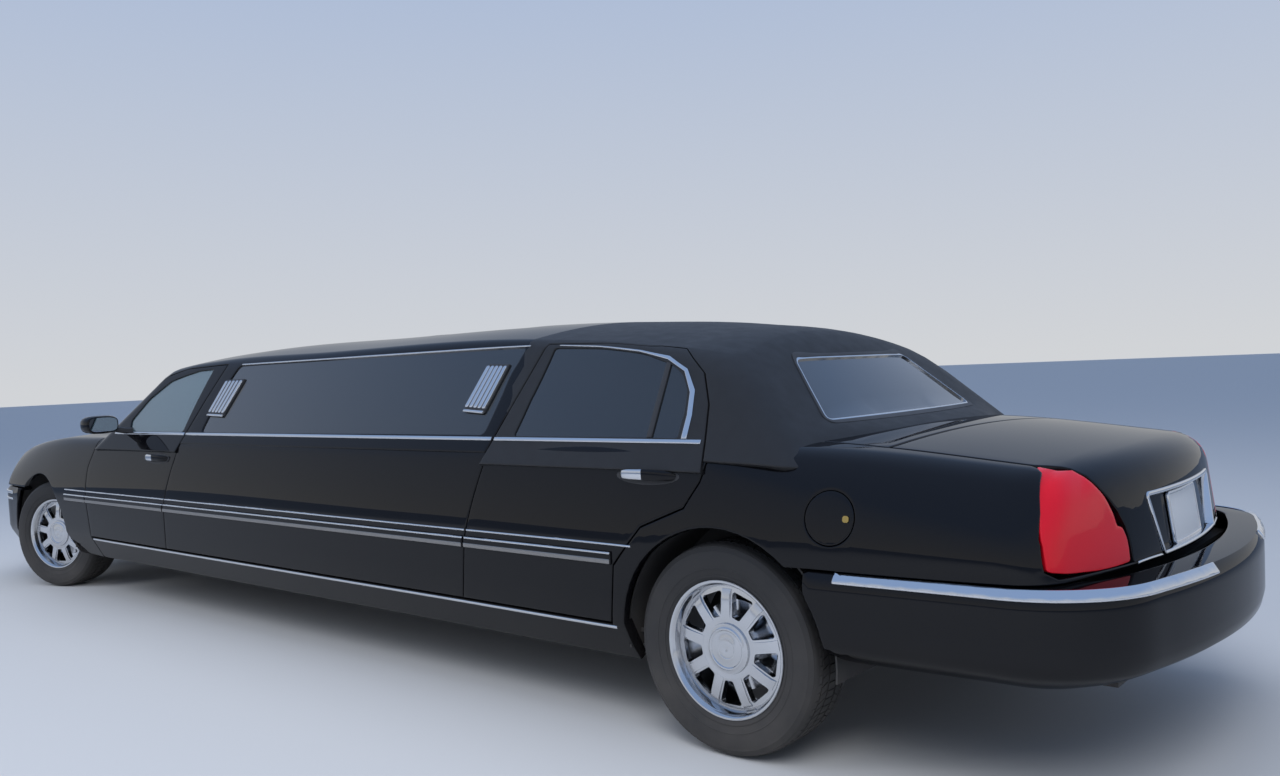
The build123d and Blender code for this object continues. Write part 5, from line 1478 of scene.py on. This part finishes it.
def buildSeats():
    frontX = frontAxleX - 1.93
    for sign, tag in ((1, "Left"), (-1, "Right")):
        y = 0.405 * sign
        addPad("frontCushion" + tag, (frontX + 0.42, y, 0.555), (0.50, 0.53, 0.15), ("seats",) if sign > 0 else (),
               lean=-0.06, across=1)
        addPad("frontBack" + tag, (frontX + 0.075, y, 0.80), (0.50, 0.52, 0.14), lean=-1.32, across=1)
        addPad("frontHeadrest" + tag, (frontX, y, 1.105), (0.15, 0.26, 0.10), lean=-1.40, channels=1, power=3.2,
               count=14)
        seatBlock("frontSeatBase" + tag, (frontX + 0.14, y - 0.25, 0.362), (frontX + 0.63, y + 0.25, 0.49))
    rearX = rearAxleX - 0.13
    addPad("rearCushion", (rearX + 0.30, 0, 0.645), (0.50, 1.27, 0.16), lean=-0.05, channels=9, across=1, count=30)
    addPad("rearBack", (rearX + 0.045, 0, 0.905), (0.50, 1.27, 0.15), lean=-1.33, channels=9, across=1, count=30)
    seatBlock("rearSeatBase", (rearX + 0.05, -0.62, 0.50), (rearX + 0.50, 0.62, 0.585))
    start, end = rearAxleX + 1.33, frontAxleX - 2.32
    for k in range(3):
        x, size = start + (end - start) * (k + 0.5) / 3, (end - start) / 3 - 0.006
        addPad("loungeCushion" + str(k), (x, -0.525, 0.53), (size, 0.42, 0.15), channels=4, across=0)
        addPad("loungeBack" + str(k), (x, -0.765, 0.78), (0.42, size, 0.11), lean=-1.42, channels=4, across=1,
               turn=pi / 2)
    seatBlock("loungeBase", (start, -0.80, 0.362), (end, -0.335, 0.46))


buildSeats()
print("seats made")

# Exhaust under the floor, and the lamps and the air intake at the nose
pipeRuns = {
    "mainPipe": ([(4.90, -0.22, 0.30), (4.40, -0.22, 0.26), (2.60, -0.20, 0.25), (1.55, -0.20, 0.25)], 0.055),
    "muffler": ([(1.60, -0.20, 0.27), (1.55, -0.20, 0.27), (0.95, -0.20, 0.27), (0.90, -0.20, 0.27)], 0.15),
    "rearPipe": ([(0.92, -0.20, 0.27), (0.55, -0.24, 0.28), (0.25, -0.34, 0.42), (-0.10, -0.42, 0.50),
                  (-0.45, -0.46, 0.42), (-0.70, -0.47, 0.30), (-1.02, -0.47, 0.255)], 0.055)}
headLamp = {"low": 0.655, "high": 0.767, "inner": 0.440, "widths": [0.46, 0.54, 0.62, 0.68, 0.73], "rear": 6.330}


def buildExhaust():
    pipes = []
    for name, (spots, wide) in pipeRuns.items():
        line = softened(evenly(np.array(spots), 0.03)[1], 5)
        sizes = [wide] * len(line)
        if name == "muffler":
            sizes[0] = sizes[-1] = wide * 0.5
        pipes.append(barBody(name, [(x + rearAxleX, y, z) for x, y, z in line], sizes, sizes, 16))
    dress(joinPieces("exhaustPipes", pipes), "steel", stands=("exhaust",))


def buildHeadLamps():
    # Lenses wrapping round the corners, over bright bowls, with dark rims
    low, high, inner, widths, rear = (headLamp[key] for key in ("low", "high", "inner", "widths", "rear"))
    spots = [lampSpot(y, low, False) for y in [inner] + widths] + \
        [(rear, girthAtHeight(rear, low)), (rear, girthAtHeight(rear, high))] + \
        [lampSpot(y, high, False) for y in widths[::-1] + [inner]]
    for name, outline, holes, thickness, lift, finish, stands in (
            ("headLenses", spots, (), 0.004, 0.0, "lampGlass", ("headlamps",)),
            ("lampBowls", grow(spots, 0.004, 0.03), (), 0.006, -0.034, "chrome", ()),
            ("lampRims", grow(spots, 0.005, 0.03), [shrink(spots, 0.004)], 0.040, -0.0035, "plastic", ())):
        addPair(name, outline, lambda x, g: bodyPoint(x, g, True), finish, stands, holes=holes, spacing=0.03,
                thickness=thickness, edgeDrop=0.002, offset=lift)


def buildIntake():
    # Dark backing and slats behind the opening in the front bumper
    bottom, top, wide = frontBar.atHeight(0.380), frontBar.atHeight(0.490), frontBar.atWidth(0.38)
    addPanel("intakeBack", [(-wide, bottom), (wide, bottom), (wide, top), (-wide, top)], frontBar.place, "plastic",
             spacing=0.05, thickness=0.004, edgeDrop=0.001, offset=-0.030)
    low, high = bottom + 0.028, bottom + 0.034
    slat = makePanel("intakeSlat", [(-wide, low), (wide, low), (wide, high), (-wide, high)], frontBar.place,
                     spacing=0.02, thickness=0.014, edgeDrop=0.001, offset=-0.010)
    dress(repeatPiece(slat, "plastic", 3, step=(0, 0, 0.025)), "plastic")


buildExhaust()
buildHeadLamps()
buildIntake()
print("nose made")

# Pale floor, soft lamps and a pale world
studio = {"floorHalf": 120.0, "floorColor": (0.50, 0.50, 0.50, 1), "floorRough": 0.8, "skyLow": (0.80, 0.82, 0.85, 1),
          "skyHigh": (0.36, 0.52, 0.84, 1), "skyTop": 0.55, "skyStrength": 0.8}
# Columns: name, place, width, power
lamps = [("keyLamp", (-6, 6, 7), 5, 500), ("fillLamp", (6, 8, 6), 6, 400), ("topLamp", (0, 0, 9), 8, 350)]


def makeFloor():
    half = studio["floorHalf"]
    floor = makeMesh("studioFloor", [(-half, -half, 0), (half, -half, 0), (half, half, 0), (-half, half, 0)],
                     [(0, 1, 2, 3)])
    finish = bpy.data.materials.new("paleFloor")
    finish.use_nodes = True
    shader = finish.node_tree.nodes["Principled BSDF"]
    shader.inputs["Base Color"].default_value = studio["floorColor"]
    shader.inputs["Roughness"].default_value = studio["floorRough"]
    floor.data.materials.append(finish)


def makeSky():
    world = bpy.data.worlds.new("paleWorld")
    world.use_nodes = True
    tree = world.node_tree
    back = tree.nodes["Background"]
    back.inputs["Strength"].default_value = studio["skyStrength"]
    place, split = node(tree, "ShaderNodeTexCoord"), node(tree, "ShaderNodeSeparateXYZ")
    fade, mix = node(tree, "ShaderNodeMapRange"), node(tree, "ShaderNodeMix", data_type="RGBA")
    fade.inputs["From Max"].default_value = studio["skyTop"]
    mix.inputs["A"].default_value = studio["skyLow"]
    mix.inputs["B"].default_value = studio["skyHigh"]
    wire(tree, [(place, "Generated", split, 0), (split, "Z", fade, "Value"), (fade, 0, mix, "Factor"),
                (mix, "Result", back, "Color")])
    scene.world = world


def makeLamps():
    for name, spot, size, power in lamps:
        lamp = bpy.data.lights.new(name, "AREA")
        lamp.size, lamp.energy = size, power
        holder = bpy.data.objects.new(name, lamp)
        holder.location = spot
        holder.rotation_euler = (-Vector(spot)).to_track_quat("-Z", "Y").to_euler()
        scene.collection.objects.link(holder)
        holder.visible_glossy = False


makeFloor()
makeSky()
makeLamps()
print("studio made")
